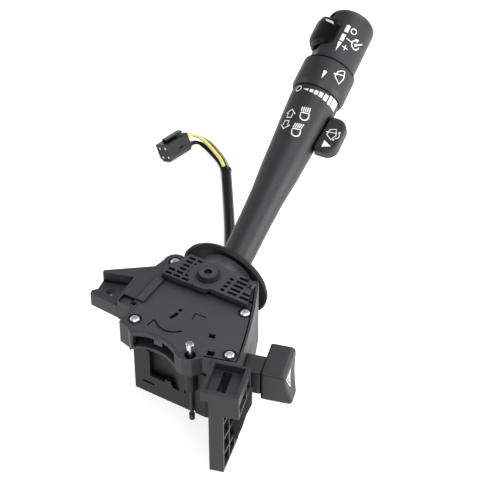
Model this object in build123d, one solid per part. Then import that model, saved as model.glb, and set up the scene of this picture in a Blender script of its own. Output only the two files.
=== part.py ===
from build123d import *
import os
from math import cos, radians, sin, sqrt, tan

os.makedirs("parts", exist_ok=True)

# Combination stalk switch for a steering column.
# Every piece is drawn in the cover frame: origin at the turn pivot, on the cover's top face,
# +Z out of the cover and +Y towards the lever. save() sets it on the ear hole's origin.

# Clearances
RUN_FIT = 0.05          # radial play of a shaft in its bearing
SEAT_FIT = 0.15         # play of a lid or insert in its seat
FREE_GAP = 0.3          # gap between pieces that pass each other

# Ear with the mounting hole
EAR_HOLE_X = -49.2
EAR_HOLE_Y = -32.4
EAR_HOLE_R = 2.75
EAR_FLOOR_Z = -7.0
EAR_FLOOR_T = 5.0
EAR_BOTTOM_Z = -16.5

# Main case and its walls
WALL = 2.4
CASE_FLOOR_T = 2.0
CASE_DEPTH = 13.3
COVER_T = 2.0
CASE_LEFT = -26.6
CASE_FRONT = -56.5
CASE_BACK = 12.6
SHOULDER_X = -38.5
SHOULDER_FRONT = -41.5
CAVITY_LEFT = -22.4
CAVITY_BACK = 9.8

# Steering column that the front wall wraps round
COLUMN_Y = -83.1
COLUMN_R = 26.5
HORN_X = -15.5
ARC_END_X = 17.8
PAWL_SLOT_TOP = -2.6
PAWL_SLOT_BOTTOM = -11.0
PAWL_SLOT_HALF = 14.4

# Right side, turned from the cover's own edges
SIDE_TURN = 16.0
SIDE_FRONT = -63.8
SIDE_X_FRONT = 36.0
SIDE_X_MIDDLE = 34.8
SIDE_X_BACK = 29.5
SIDE_BACK = 7.0

# Post of the captive column screw
POST_X = COLUMN_R - 2.2
POST_Y = COLUMN_Y + COLUMN_R - 2.1
POST_R = 4.0
POST_BOTTOM = -27.0
SCREW_SHANK_R = 1.2
SCREW_THREAD_R = 1.75
COLUMN_SCREW_HEAD_R = 2.4
COLUMN_SCREW_HEAD_H = 4.0
COLUMN_SCREW_TOP = 9.5
COLUMN_SCREW_END = -53.8

# Cover screws, at their places on the cover
SCREW_PLACES = [(-26.1, 3.7), (-19.6, -50.5), (33.6, -12.7), (43.9, -47.1)]
SCREW_R = 1.6
SCREW_HEAD_R = 2.8
SCREW_HEAD_H = 2.2
SCREW_LENGTH = 9.0
SCREW_BOSS_R = 3.5
SCREW_SOCKET_R = 1.5
PAD_R = 4.4
PAD_DEPTH = 0.8
LUG_R = 7.3

# Deck with its rib grilles and the pivot boss
DECK_H = 4.5
DECK_SKIN = 1.9
DECK_DISC_R = 12.0
BOSS_RING_R = 5.7
BOSS_STEP_R = 6.8
BOSS_STEP_H = 1.0
BOSS_TOP = 7.5
PIVOT_PIN_R = 2.35
LEFT_CELL_X = [-21.8, -16.0, -10.2]
LEFT_CELL_LONG = 4.5
RIGHT_CELL_X = [20.8, 29.2]
RIGHT_CELL_LONG = 6.7
SMALL_CELL_X = 13.9
SMALL_CELL_LONG = 2.8
CELL_WIDE = 1.9
CELL_PITCH = 3.55

# Lower case and base
LOWER_BOTTOM = -46.0
LOWER_LEFT = -16.3
LOWER_FRONT = COLUMN_Y + COLUMN_R - 1.4
BASE_T = 2.5
RAIL_TOP = -33.5
LINER_R = COLUMN_R + 3.1
LINER_T = 1.8

# Turn carrier
DRUM_R = 12.6
DRUM_FLAT = 7.4
DRUM_TOP = -2.6
DRUM_BOTTOM = -44.7
FOOT_PIN_R = 4.0
TURN_LIMIT = 9.0
PEG_REACH = DRUM_R + 5.4
PEG_R = 1.5
SLIDER_LOW = -42.5
SLIDER_HIGH = -37.0

# Cancel pawl and turn detent, carried by the drum
PAWL_PIN_Y = -19.0
PAWL_PIN_R = 2.0
PAWL_LOW = -7.3
PAWL_HIGH = -3.7
PAWL_TIP_HALF = 2.8
DETENT_Z = -6.5
DETENT_R = 2.2
DETENT_REACH = DRUM_R + 9.0
DETENT_BORE_START = DRUM_R - 8.6

# Contact board and its terminals
BOARD_X = (-11.0, 29.0)
BOARD_Y = (-49.5, -22.0)
BOARD_LOW = -44.4
BOARD_T = 1.6
PIN_X = (-5.0, -1.0, 3.0, 7.0, 11.0)
PIN_Y = (-34.5, -27.5)
PIN_REACH = 6.0
SHROUD_DEPTH = 11.0

# Lever frame: heading to the left of +Y, then the rise of the stalk
HEADING = 5.44
RISE = 20.06
LEVER_OFFSET = -2.25
LEVER_AXIS_Z = -34.16
DIMMER_PIN_R = 2.5
ARM_HALF = 6.0
ARM_END_R = 7.6
NECK_R = 9.6
NECK_START = 19.0

# Dust shield on the lever
SHIELD_AT = 35.8
SHIELD_TILT = -9.0
SHIELD_YAW = -5.0
SHIELD_R = 29.7
SHIELD_T = 1.6
SHIELD_RIM = 6.0
SHIELD_HUB_R = 17.5

# Stalk, measured along the lever from the dimmer pin
TUBE_START_R = 9.9
TUBE_END = 172.9
TUBE_END_R = 16.1
# Share of the tube's length against share of its growth in radius
TUBE_SHAPE = [(0.43, 0.07), (0.54, 0.18), (0.65, 0.45), (0.766, 0.64), (0.86, 0.83), (0.96, 1.0)]
SHAFT_R = 4.0
SPIGOT_R = 11.0
BAND_START = 173.3
BAND_END = 195.4
BAND_R = 18.0
BAND_TURN = 35.0
DRIVE_PEG_R = 2.2
CAP_START = 195.8
CAP_END = 238.5
CAP_R = 16.0
CAP_WALL = 2.8
CAP_EDGE = 6.0

# Cruise slider and set button in the cap
THUMB_AT = 219.5
THUMB_ANGLE = -56.0
THUMB_R = 12.8
THUMB_HALF = 9.0
THUMB_LOW = 14.9
THUMB_HIGH = 21.8
THUMB_TRAVEL = 10.5
THUMB_ARCH_R = 22.0
THUMB_DISH_R = 13.5
THUMB_DISH = 4.6
SET_R = 8.0
SET_PROUD = 1.5

# Washer paddle on the right of the stalk
PADDLE_LOW = 134.5
PADDLE_HIGH = 161.8
PADDLE_OUT = 29.2
PADDLE_HALF_T = 3.8
PADDLE_PIN_X = 11.2
PADDLE_PIN_R = 1.2
PADDLE_GAP = 0.8
PADDLE_ROOT_HALF = 2.8

# Guide bracket: tray and ribbed leg on the right side
TRAY_LEFT = 20.6
TRAY_RIGHT = 43.5
TRAY_FRONT = -90.0
TRAY_WALL = 2.3
TRAY_FLOOR_TOP = -5.2
TRAY_FLOOR_BOTTOM = -7.0
TRAY_SLOT_LEFT = 28.2
TRAY_SLOT_RIGHT = 33.4
LEG_LEFT = 25.4
LEG_RIGHT = 34.1
LEG_WEB = 1.8
LEG_RIB = 1.6
LEG_FRONT_BOTTOM = -64.5
LEG_HEEL_Y = -58.0
LEG_HEEL_Z = -69.0
BLOCK_BOTTOM = -17.0

# Hazard button on the right side
STEM_BACK = -41.2
STEM_FRONT = -56.0
STEM_TOP = -12.0
STEM_BOTTOM = -29.5
STEM_INNER = 29.5
KNOB_INNER = 47.0
KNOB_TOP_OUT = 62.1
KNOB_BOTTOM_OUT = 68.3
KNOB_BACK = -29.0
KNOB_BOTTOM = -33.8

# Pigtail: sleeve, four wires and the plug
FLOOR_Z = LEG_HEEL_Z
SLEEVE_R = 3.7
WIRE_R = 1.3
PLUG_WIDE = 13.0
PLUG_TALL = 13.5
PLUG_LONG = 20.0
PLUG_CHAMFER = 3.0
PLUG_HEADING = -13.9
PLUG_ROLL = -28.0
PLUG_FACE = (-132.3, 151.1, -61.2)
PLUG_PITCH_X = 6.4
PLUG_PITCH_Z = 7.0
PLUG_HOLE_R = 1.2
DUCT_X = -19.0
DUCT_Z = -59.5
DUCT_R = 6.6

ROW_ORIGIN = Location((-EAR_HOLE_X, -EAR_HOLE_Y, -EAR_FLOOR_Z))
SIDE = Rot(Z=SIDE_TURN)
HEADED = Rot(Z=HEADING)
LEVER = HEADED * Pos(LEVER_OFFSET, 0, LEVER_AXIS_Z) * Rot(X=RISE)
SHIELD = LEVER * Pos(0, SHIELD_AT, 0) * Rot(X=SHIELD_TILT) * Rot(Z=SHIELD_YAW)
THUMB = LEVER * Pos(0, THUMB_AT, 0) * Rot(Y=THUMB_ANGLE)
PLUG = Pos(*PLUG_FACE) * Rot(Z=PLUG_HEADING) * Rot(Y=PLUG_ROLL)


def save(node, shape):
    """Write one node's solids with the ear hole as the origin."""
    export_step(shape.moved(ROW_ORIGIN), f"parts/{node}.step")


def side_point(x, y):
    """A point of the right side's own frame, on the cover frame."""
    turn = radians(SIDE_TURN)
    return (x * cos(turn) - y * sin(turn), x * sin(turn) + y * cos(turn))


def circle_point(centre, radius, angle):
    """The point of a circle at an angle in degrees."""
    return (centre[0] + radius * cos(radians(angle)), centre[1] + radius * sin(radians(angle)))


def column_point(x, radius):
    """The point at x on a circle round the steering column, on the case's side."""
    return (x, COLUMN_Y + sqrt(radius**2 - x**2))


def outline(points):
    """A closed face through straight corners."""
    return make_face(Polyline(*points, close=True))


def prism(face, low, high):
    """A face drawn on the cover plane, run from one height to another."""
    return Pos(0, 0, low) * extrude(face, amount=high - low, dir=(0, 0, 1))


def block(x, y, z):
    """A box between two values along each axis."""
    size = (x[1] - x[0], y[1] - y[0], z[1] - z[0])
    return Pos(sum(x) / 2, sum(y) / 2, sum(z) / 2) * Box(*size)


def drum(radius, low, high, x=0.0, y=0.0):
    """A cylinder along Z between two heights."""
    return Pos(x, y, (low + high) / 2) * Cylinder(radius, high - low)


def rod(radius, start, end):
    """A cylinder along Y between two places."""
    return Pos(0, (start + end) / 2, 0) * Rot(X=-90) * Cylinder(radius, end - start)


def cross_rod(radius, start, end):
    """A cylinder along X between two places."""
    return Pos((start + end) / 2, 0, 0) * Rot(Y=90) * Cylinder(radius, end - start)


def turned(points):
    """A solid of revolution round Y, from radius and place pairs."""
    return revolve(outline(points), Axis.Y)


def case_face():
    """Top view of the main case, with the screw lug, the column arc and the curved right side."""
    horn = column_point(HORN_X, COLUMN_R)
    arc_end = column_point(ARC_END_X, COLUMN_R)
    lug = [circle_point(SCREW_PLACES[0], LUG_R, angle) for angle in (50, 120, 190)]
    ear_corner = (-34.7, -5.5)
    back_right = side_point(SIDE_X_BACK, SIDE_BACK)
    edges = [
        Line((CASE_LEFT, CASE_FRONT), (-19.3, -58.3)),
        Line((-19.3, -58.3), horn),
        ThreePointArc(horn, (0, COLUMN_Y + COLUMN_R), arc_end),
        Polyline(
            arc_end,
            (POST_X - 2.7, POST_Y - 5.3),
            (POST_X + 2.9, POST_Y - 3.3),
            side_point(14.3, SIDE_FRONT),
            side_point(SIDE_X_FRONT, SIDE_FRONT),
        ),
        ThreePointArc(
            side_point(SIDE_X_FRONT, SIDE_FRONT), side_point(SIDE_X_MIDDLE, -30), back_right
        ),
        Polyline(back_right, (20.5, CASE_BACK), (-20.5, CASE_BACK), lug[0]),
        ThreePointArc(*lug),
        Polyline(
            lug[2],
            ear_corner,
            (SHOULDER_X, -8.4),
            (SHOULDER_X, SHOULDER_FRONT),
            (CASE_LEFT, SHOULDER_FRONT),
            (CASE_LEFT, CASE_FRONT),
        ),
    ]
    return make_face(edges)


def cover_face():
    """Top view of the cover, inside the case's rim."""
    inset = 1.8
    arc_r = COLUMN_R + inset
    lug = [circle_point(SCREW_PLACES[0], LUG_R - inset, angle) for angle in (40, 115, 195)]
    arc_left = column_point(HORN_X + 0.7, arc_r)
    arc_right = column_point(ARC_END_X - 0.8, arc_r)
    front_right = side_point(SIDE_X_FRONT - inset, SIDE_FRONT + inset)
    back_right = side_point(SIDE_X_BACK - inset, SIDE_BACK - inset)
    edges = [
        Polyline(
            (-28.2, -12.5), (-28.2, -36.5), (CASE_LEFT + inset, -40), (CASE_LEFT + inset, CASE_FRONT + 1.4),
            (-18.8, CASE_FRONT), arc_left,
        ),
        ThreePointArc(arc_left, (0, COLUMN_Y + arc_r), arc_right),
        Polyline(arc_right, (20.5, -59), side_point(14.6, SIDE_FRONT + inset), front_right),
        ThreePointArc(front_right, side_point(SIDE_X_MIDDLE - inset, -30), back_right),
        Polyline(back_right, (20, CASE_BACK - inset), (-19.5, CASE_BACK - inset), lug[0]),
        ThreePointArc(*lug),
        Line(lug[2], (-28.2, -12.5)),
    ]
    post_bite = Pos(POST_X, POST_Y) * Circle(POST_R + 1.2)
    return make_face(edges) - post_bite


def cavity_face():
    """Top view of the hollow inside the main case."""
    arc_r = COLUMN_R + WALL
    arc_left = column_point(-14.0, arc_r)
    arc_right = column_point(14.0, arc_r)
    front_right = side_point(32.4, -58.5)
    back_right = side_point(26.5, 3.0)
    edges = [
        Polyline((CAVITY_LEFT, CAVITY_BACK), (CAVITY_LEFT, -53), arc_left),
        ThreePointArc(arc_left, (0, COLUMN_Y + arc_r), arc_right),
        Polyline(arc_right, (17.2, -52.5), (31, -52.5), side_point(20.5, -58.5), front_right),
        ThreePointArc(front_right, side_point(31.6, -28), back_right),
        Polyline(back_right, (18.5, CAVITY_BACK), (CAVITY_LEFT, CAVITY_BACK)),
    ]
    return make_face(edges)


def ear_face():
    """Top view of the mounting ear."""
    return outline([
        (-34.7, -5.5), (-59.3, -24.4), (-57.6, -34.0), (-60.2, -37.0), (-59.3, -39.8),
        (CASE_LEFT, SHOULDER_FRONT), (CASE_LEFT, -10),
    ])


def ear():
    """Mounting ear: a thin floor round the hole, a skirt below it and a raised back."""
    body = prism(ear_face(), EAR_BOTTOM_Z, 0)
    shelf = outline([
        (-62, -26.6), (-58.4, -26.2), (-40.2, -20.3), (SHOULDER_X, SHOULDER_FRONT - 2), (-62, SHOULDER_FRONT - 2),
    ])
    body -= prism(shelf, EAR_FLOOR_Z, 1)
    hollow = outline([
        (-36, -11), (-56.4, -26.6), (-55.4, -34.2), (-57.4, -37.2), (-36, -38.6),
    ])
    body -= prism(hollow, EAR_BOTTOM_Z - 1, EAR_FLOOR_Z - EAR_FLOOR_T)
    body -= drum(EAR_HOLE_R, EAR_FLOOR_Z - 6, EAR_FLOOR_Z + 1, EAR_HOLE_X, EAR_HOLE_Y)
    return body


def main_case():
    """Upper housing: rim for the cover, ear, screw bosses, pawl slot and the floor under the carrier."""
    body = prism(case_face(), -CASE_DEPTH, 0) + ear()
    skirt = case_face() & Pos(-30, -30) * Rectangle(25.6, 60)
    body += prism(skirt, EAR_BOTTOM_Z, -CASE_DEPTH)
    under = outline([(-36, -36), (-36, -12), (-20.2, -12), (-20.2, -55.2), (-24.2, -54.2), (-24.2, -38.5)])
    body -= prism(under, EAR_BOTTOM_Z - 1, -CASE_DEPTH + CASE_FLOOR_T)
    body -= prism(offset(cover_face(), amount=SEAT_FIT), -COVER_T, 1)
    floor_top = -CASE_DEPTH + CASE_FLOOR_T
    hollow = prism(cavity_face(), floor_top, 1)
    for x, y in SCREW_PLACES:
        hollow -= drum(SCREW_BOSS_R, floor_top - 1, 1, x, y)
    body -= hollow
    slot = Pos(0, COLUMN_Y) * Circle(COLUMN_R + 10) - Pos(0, COLUMN_Y) * Circle(COLUMN_R - 5)
    slot = slot & Pos(0, -57) * Rectangle(2 * PAWL_SLOT_HALF, 12)
    body -= prism(slot, PAWL_SLOT_BOTTOM, PAWL_SLOT_TOP)
    body -= drum(DRUM_R + 1.5, -CASE_DEPTH - 1, floor_top + 1)
    for x, y in SCREW_PLACES:
        body -= drum(SCREW_R, -COVER_T - SCREW_LENGTH, 0, x, y)
    body -= drum(SCREW_THREAD_R + FREE_GAP, -CASE_DEPTH - 1, 1, POST_X, POST_Y)
    body -= drum(POST_R - 0.6, -4.0, 1, POST_X, POST_Y)
    body -= block((-30.2, -26.2), (-41.0, -38.2), (-6.0, 1))
    body -= block((-37.3, -28.8), (SHOULDER_FRONT - 1, -35.6), (-1.6, 1))
    body -= stem_way()
    return body


def stem_way():
    """Clear way of the hazard stem through the right wall."""
    way = block(
        (STEM_INNER - 6, 45),
        (STEM_FRONT - FREE_GAP, STEM_BACK + FREE_GAP),
        (STEM_BOTTOM - FREE_GAP, STEM_TOP + FREE_GAP),
    )
    return SIDE * way


def deck_face():
    """Top view of the raised deck: two grille wings and the pivot disc."""
    wings = outline([
        (-25.2, -12.2), (-9, -12.2), (9, -9.4), (33.4, -9.4), side_point(27.2, -0.5), (19.4, CASE_BACK - 2),
        (-19.2, CASE_BACK - 2), (-21.2, 6.5), (-25.2, -2.2),
    ])
    return wings + Circle(DECK_DISC_R) - Pos(*SCREW_PLACES[0]) * Circle(PAD_R)


def grille_cells():
    """Slots of the rib grilles, in rows across the deck."""
    cell = Rectangle(LEFT_CELL_LONG, CELL_WIDE)
    wide = Rectangle(RIGHT_CELL_LONG, CELL_WIDE)
    small = Rectangle(SMALL_CELL_LONG, CELL_WIDE)
    left_row = -10.0
    right_row = -6.4
    cells = [Pos(x, left_row + row * CELL_PITCH) * cell for x in LEFT_CELL_X[1:] for row in range(6)]
    cells += [Pos(LEFT_CELL_X[0], left_row + row * CELL_PITCH) * cell for row in range(2)]
    cells += [Pos(RIGHT_CELL_X[0], right_row + row * CELL_PITCH) * wide for row in range(5)]
    cells += [Pos(RIGHT_CELL_X[1], right_row + row * CELL_PITCH) * wide for row in range(2)]
    cells += [Pos(SMALL_CELL_X, right_row + row * CELL_PITCH) * small for row in range(4)]
    return cells


def cover_plate():
    """Cover: plate, raised deck with grilles, pivot boss, edge strip, holes and grooves."""
    body = prism(cover_face(), -COVER_T, 0)
    body += prism(deck_face(), 0, DECK_H)
    hollow = outline([
        (-23.4, -10.4), (7, -10.4), (10, -7.6), (31.4, -7.6), side_point(25.2, -1.4), (18.4, CASE_BACK - 3.8),
        (-17.6, CASE_BACK - 3.8), (-19.6, 4.4), (-23.4, -3.4),
    ])
    body -= prism(hollow, -COVER_T - 1, DECK_H - DECK_SKIN)
    body += drum(BOSS_STEP_R, DECK_H - DECK_SKIN, DECK_H + BOSS_STEP_H)
    body += drum(BOSS_RING_R, -COVER_T, BOSS_TOP)
    body -= drum(PIVOT_PIN_R + RUN_FIT, -COVER_T - 1, BOSS_TOP + 1)
    disc = Cylinder(DECK_DISC_R, 3 * DECK_H)
    for cell in grille_cells():
        body -= prism(cell, -COVER_T - 1, DECK_H + 1) - disc
    body += block((-28.2, -23.0), (-36.0, -12.6), (-0.5, 1.0))
    for x, y in SCREW_PLACES:
        body -= drum(PAD_R, -PAD_DEPTH, 1.2, x, y)
        body -= drum(SCREW_R + FREE_GAP, -COVER_T - 1, 1, x, y)
    body -= Pos(26.9, -39.0) * Rot(Z=SIDE_TURN) * Box(4.0, 3.4, 9)
    body -= Pos(33.8, -51.6) * Rot(Z=SIDE_TURN) * Box(4.4, 4.0, 9)
    slanted = Pos(-1.4, -35.9) * Rot(Z=74) * SlotOverall(6.6, 2.5)
    body -= prism(slanted, -COVER_T - 1, 1) + drum(1.3, -COVER_T - 1, 1, -0.7, -30.3)
    for x in (25.6, 27.8):
        body += block((x, x + 0.8), (3.0, 7.4), (DECK_H - 0.5, DECK_H + 0.9))
    body -= cover_grooves()
    return body


def cover_grooves():
    """Shallow moulding grooves on the cover's top."""
    groove = 0.7
    hook = trace(Polyline((9.6, -33.6), (8.7, -28.0), (15.9, -27.9)), line_width=0.8)
    step = trace(Polyline((-10.4, -51.0), (-9.7, -45.3), (-7.6, -45.9)), line_width=1.0)
    bow = trace(ThreePointArc((-7.6, -45.9), (1.0, -49.4), (9.4, -44.5)), line_width=1.4)
    return prism(hook, -groove, 1) + prism(step + bow, -groove, 1)


def cover_screws():
    """Four pan-head screws that hold the cover."""
    screws = []
    for x, y in SCREW_PLACES:
        head = drum(SCREW_HEAD_R, -PAD_DEPTH, SCREW_HEAD_H - PAD_DEPTH, x, y)
        head = chamfer(head.edges().group_by(Axis.Z)[-1], 0.8)
        shank = drum(SCREW_R, -COVER_T - SCREW_LENGTH + 0.5, -PAD_DEPTH, x, y)
        socket = Pos(x, y) * (Rectangle(2 * SCREW_SOCKET_R, 0.8) + Rectangle(0.8, 2 * SCREW_SOCKET_R))
        screws.append(head + shank - prism(socket, SCREW_HEAD_H - PAD_DEPTH - 1.2, 3))
    return Compound(screws)


def column_screw():
    """Long captive screw that fastens the switch to the steering column."""
    head_low = COLUMN_SCREW_TOP - COLUMN_SCREW_HEAD_H
    head = drum(COLUMN_SCREW_HEAD_R, head_low, COLUMN_SCREW_TOP, POST_X, POST_Y)
    head = chamfer(head.edges().group_by(Axis.Z)[-1], 0.5)
    thread_top = LOWER_BOTTOM - BASE_T - 0.4
    thread = drum(SCREW_THREAD_R, COLUMN_SCREW_END, thread_top, POST_X, POST_Y)
    thread = chamfer(thread.edges().group_by(Axis.Z)[0], 0.5)
    shank = drum(SCREW_SHANK_R, thread_top, head_low, POST_X, POST_Y)
    socket = Pos(POST_X, POST_Y) * RegularPolygon(1.4, 6)
    return head + shank + thread - prism(socket, COLUMN_SCREW_TOP - 2, COLUMN_SCREW_TOP + 1)


def lower_face(inset):
    """Top view of the lower case, drawn in by an inset from its outer faces."""
    left = LOWER_LEFT + inset
    front = LOWER_FRONT + inset
    back = CASE_BACK - inset
    return outline([
        (left, front), (POST_X + 9.0 - inset, front),
        side_point(25.4 - inset / 2, SIDE_FRONT + inset),
        side_point(SIDE_X_FRONT - 0.2 - inset, SIDE_FRONT + inset),
        side_point(SIDE_X_MIDDLE - 0.2 - inset, -30),
        side_point(SIDE_X_BACK - inset, SIDE_BACK - inset),
        (20.5 - inset / 3, back), (left, back),
    ])


def lower_case():
    """Lower housing: window over the curved column liner, screw post, lever opening and stem way."""
    body = prism(lower_face(0), LOWER_BOTTOM, -CASE_DEPTH) - prism(lower_face(WALL), LOWER_BOTTOM - 1, 0)
    body += drum(POST_R, POST_BOTTOM, -CASE_DEPTH, POST_X, POST_Y)
    window_end = POST_X - POST_R - 0.6
    window = block((-5.2, window_end), (LOWER_FRONT - 1, LOWER_FRONT + WALL), (RAIL_TOP, 0))
    window -= block((5.2, 9.4), (-70, -50), (RAIL_TOP - 1, RAIL_TOP + 2.2))
    window += block((10.5, window_end), (LOWER_FRONT - 1, LOWER_FRONT + WALL), (RAIL_TOP - 2, 0))
    body -= window
    body += drum(POST_R - 0.4, LOWER_BOTTOM, -CASE_DEPTH, POST_X, POST_Y + 1.6) & block((0, 60), (LOWER_FRONT, 0), (-60, 0))
    body -= drum(SCREW_THREAD_R + FREE_GAP, LOWER_BOTTOM - 1, 0, POST_X, POST_Y)
    ring = Pos(0, COLUMN_Y) * Circle(LINER_R + LINER_T) - Pos(0, COLUMN_Y) * Circle(LINER_R)
    ring = ring & Pos(2.2, -55) * Rectangle(34.6, 14)
    body += prism(ring, RAIL_TOP - 3, -CASE_DEPTH) - prism(Pos(2, -64) * Rectangle(60, 12), -60, 0)
    body -= block((-10.5, -2.5), (LOWER_FRONT - 1, LOWER_FRONT + 1.2), (-40.6, -39.0))
    body -= lever_opening()
    body -= stem_way()
    return body


def lever_opening():
    """Rounded opening in the back wall, clear of the lever over its swing and tilt."""
    hole = Pos(-3.5, CASE_BACK - 1, -29.0) * Rot(X=90) * RectangleRounded(21.4, 26.6, 3.0)
    return extrude(hole, amount=8, both=True)


def base_cover():
    """Base plate with the carrier's lower bearing, plug socket, board posts and cable duct."""
    body = prism(lower_face(0), LOWER_BOTTOM - BASE_T, LOWER_BOTTOM)
    lip = prism(lower_face(WALL + SEAT_FIT), LOWER_BOTTOM, LOWER_BOTTOM + 1.0)
    lip -= prism(lower_face(WALL + 1.8), LOWER_BOTTOM - 1, LOWER_BOTTOM + 3)
    lip -= drum(12, LOWER_BOTTOM - 1, LOWER_BOTTOM + 3, POST_X, POST_Y)
    body += lip
    body -= drum(FOOT_PIN_R + RUN_FIT, LOWER_BOTTOM - 5, LOWER_BOTTOM + 5)
    body -= drum(SCREW_THREAD_R + FREE_GAP, LOWER_BOTTOM - 5, LOWER_BOTTOM + 5, POST_X, POST_Y)
    for x in (BOARD_X[0] + 3, BOARD_X[1] - 3):
        for y in (BOARD_Y[0] + 3, BOARD_Y[1] - 3):
            body += drum(2.0, LOWER_BOTTOM - 0.5, BOARD_LOW, x, y)
    under = LOWER_BOTTOM - BASE_T
    shroud = block((-9, 15), (-41, -21), (under - SHROUD_DEPTH, under + 0.5))
    shroud = fillet(shroud.edges().filter_by(Axis.Z), 1.5)
    shroud -= block((-7.4, 13.4), (-39.4, -22.6), (under - SHROUD_DEPTH - 1, under))
    body += shroud
    for x in PIN_X:
        for y in PIN_Y:
            body -= block((x - 0.4, x + 0.4), (y - 0.9, y + 0.9), (LOWER_BOTTOM - 5, LOWER_BOTTOM + 5))
    return body + cable_duct()


def cable_duct():
    """Round duct under the base that the pigtail leaves through."""
    body = Pos(DUCT_X, 0, DUCT_Z) * rod(DUCT_R, -6, CASE_BACK)
    body += block((DUCT_X - DUCT_R, DUCT_X + DUCT_R), (-6, CASE_BACK), (DUCT_Z, LOWER_BOTTOM - BASE_T))
    body -= Pos(DUCT_X, 0, DUCT_Z) * rod(DUCT_R - 1.6, -4.4, CASE_BACK + 1)
    body -= drum(4.0, DUCT_Z, LOWER_BOTTOM + 3, DUCT_X, 1.0)
    return body


def circuit_board():
    """Contact board over the base."""
    board = block(BOARD_X, BOARD_Y, (BOARD_LOW, BOARD_LOW + BOARD_T))
    for x in PIN_X:
        for y in PIN_Y:
            board -= block((x - 0.4, x + 0.4), (y - 0.9, y + 0.9), (BOARD_LOW - 1, BOARD_LOW + 3))
    return board


def terminal_pins():
    """Blade terminals from the board into the plug socket."""
    low = LOWER_BOTTOM - BASE_T - PIN_REACH
    pins = []
    for x in PIN_X:
        for y in PIN_Y:
            blade = block((x - 0.4, x + 0.4), (y - 0.9, y + 0.9), (low, BOARD_LOW + BOARD_T))
            pins.append(chamfer(blade.edges().group_by(Axis.Z)[0], 0.25))
    return Compound(pins)


def contact_slider():
    """Moving contact that the carrier's peg drives across the board."""
    y = -PEG_REACH
    body = block((-8, 8), (y - 6.5, y + 3.2), (SLIDER_LOW, SLIDER_HIGH))
    body = fillet(body.edges().filter_by(Axis.Z), 1.0)
    fork = block((-PEG_R - 0.1, PEG_R + 0.1), (y - 2.4, y + 5), (SLIDER_LOW + 0.8, SLIDER_HIGH + 1))
    return body - fork


def turn_carrier():
    """Drum that turns in the cover and base, with the lever slot, pawl arm, peg and detent bore."""
    body = drum(DRUM_R, DRUM_BOTTOM, DRUM_TOP)
    body -= block((-DRUM_R, DRUM_R), (DRUM_FLAT, DRUM_R + 1), (DRUM_BOTTOM - 1, DRUM_TOP + 1))
    body += drum(PIVOT_PIN_R, DRUM_TOP, DECK_H + 1.5)
    body += drum(FOOT_PIN_R, LOWER_BOTTOM - BASE_T + 0.2, DRUM_BOTTOM)
    slot_half = ARM_HALF + FREE_GAP
    slot = block(
        (LEVER_OFFSET - slot_half, LEVER_OFFSET + slot_half), (-ARM_END_R - 1.5, DRUM_R + 1), (-42.2, -15.0)
    )
    body -= HEADED * slot
    body -= HEADED * Pos(LEVER_OFFSET, 0, LEVER_AXIS_Z) * cross_rod(DIMMER_PIN_R, 1.6 - DRUM_R, DRUM_R - 1.6)
    arm = block((-5, 5), (-22.5, -DRUM_R + 1.5), (PAWL_LOW - 2.1, PAWL_LOW - FREE_GAP))
    body += fillet(arm.edges().filter_by(Axis.Z).group_by(Axis.Y)[0], 3.0)
    body += drum(PAWL_PIN_R, PAWL_LOW - 1, PAWL_HIGH + 0.4, 0, PAWL_PIN_Y)
    body += block((-3, 3), (-PEG_REACH - 2, -DRUM_R + 2), (-36.6, -33))
    body += drum(PEG_R, SLIDER_LOW + 1.2, -35, 0, -PEG_REACH)
    body -= Pos(0, 0, DETENT_Z) * cross_rod(DETENT_R + RUN_FIT, DETENT_BORE_START, DRUM_R + 1)
    return body


def cancel_pawl():
    """Pawl that the column's cancel cam pushes, reaching out through the front slot."""
    tip = COLUMN_Y + COLUMN_R + 0.8
    hub = Pos(0, PAWL_PIN_Y) * Circle(4.4)
    neck = outline([
        (-3.4, PAWL_PIN_Y), (3.4, PAWL_PIN_Y), (2.2, -44), (PAWL_TIP_HALF, -50), (PAWL_TIP_HALF, tip),
        (-PAWL_TIP_HALF, tip), (-PAWL_TIP_HALF, -50), (-2.2, -44),
    ])
    body = prism(hub + neck, PAWL_LOW, PAWL_HIGH)
    return body - drum(PAWL_PIN_R + RUN_FIT, PAWL_LOW - 1, PAWL_HIGH + 1, 0, PAWL_PIN_Y)


def turn_detent():
    """Sprung plunger that rides the detent plate."""
    nose = DETENT_REACH - DETENT_R
    body = cross_rod(DETENT_R, DRUM_R - 1.6, nose) + Pos(nose, 0, 0) * Sphere(DETENT_R)
    return Pos(0, 0, DETENT_Z) * body


def detent_spring():
    """Coil spring behind the detent plunger."""
    coil_r = DETENT_R - 0.5
    first = (DETENT_BORE_START + 0.5, 0, DETENT_Z)
    path = Helix(pitch=2.0, height=6.0, radius=coil_r, center=first, direction=(1, 0, 0))
    start = Plane(origin=path @ 0, z_dir=path % 0)
    return sweep(start * Circle(0.35), path=path, is_frenet=True)


def detent_plate():
    """Notched track fixed beside the carrier: left, centre and right turn positions."""
    inner = DETENT_REACH + FREE_GAP
    ring = Circle(inner + 4.0) - Circle(inner)
    ring = ring & Pos(inner + 2, 0) * Rectangle(9, 17)
    for angle in (-TURN_LIMIT, 0, TURN_LIMIT):
        ring -= Pos(*circle_point((0, 0), inner + 0.2, angle)) * Circle(1.3)
    return prism(ring, -CASE_DEPTH + CASE_FLOOR_T, DETENT_Z + 2.6)


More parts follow.
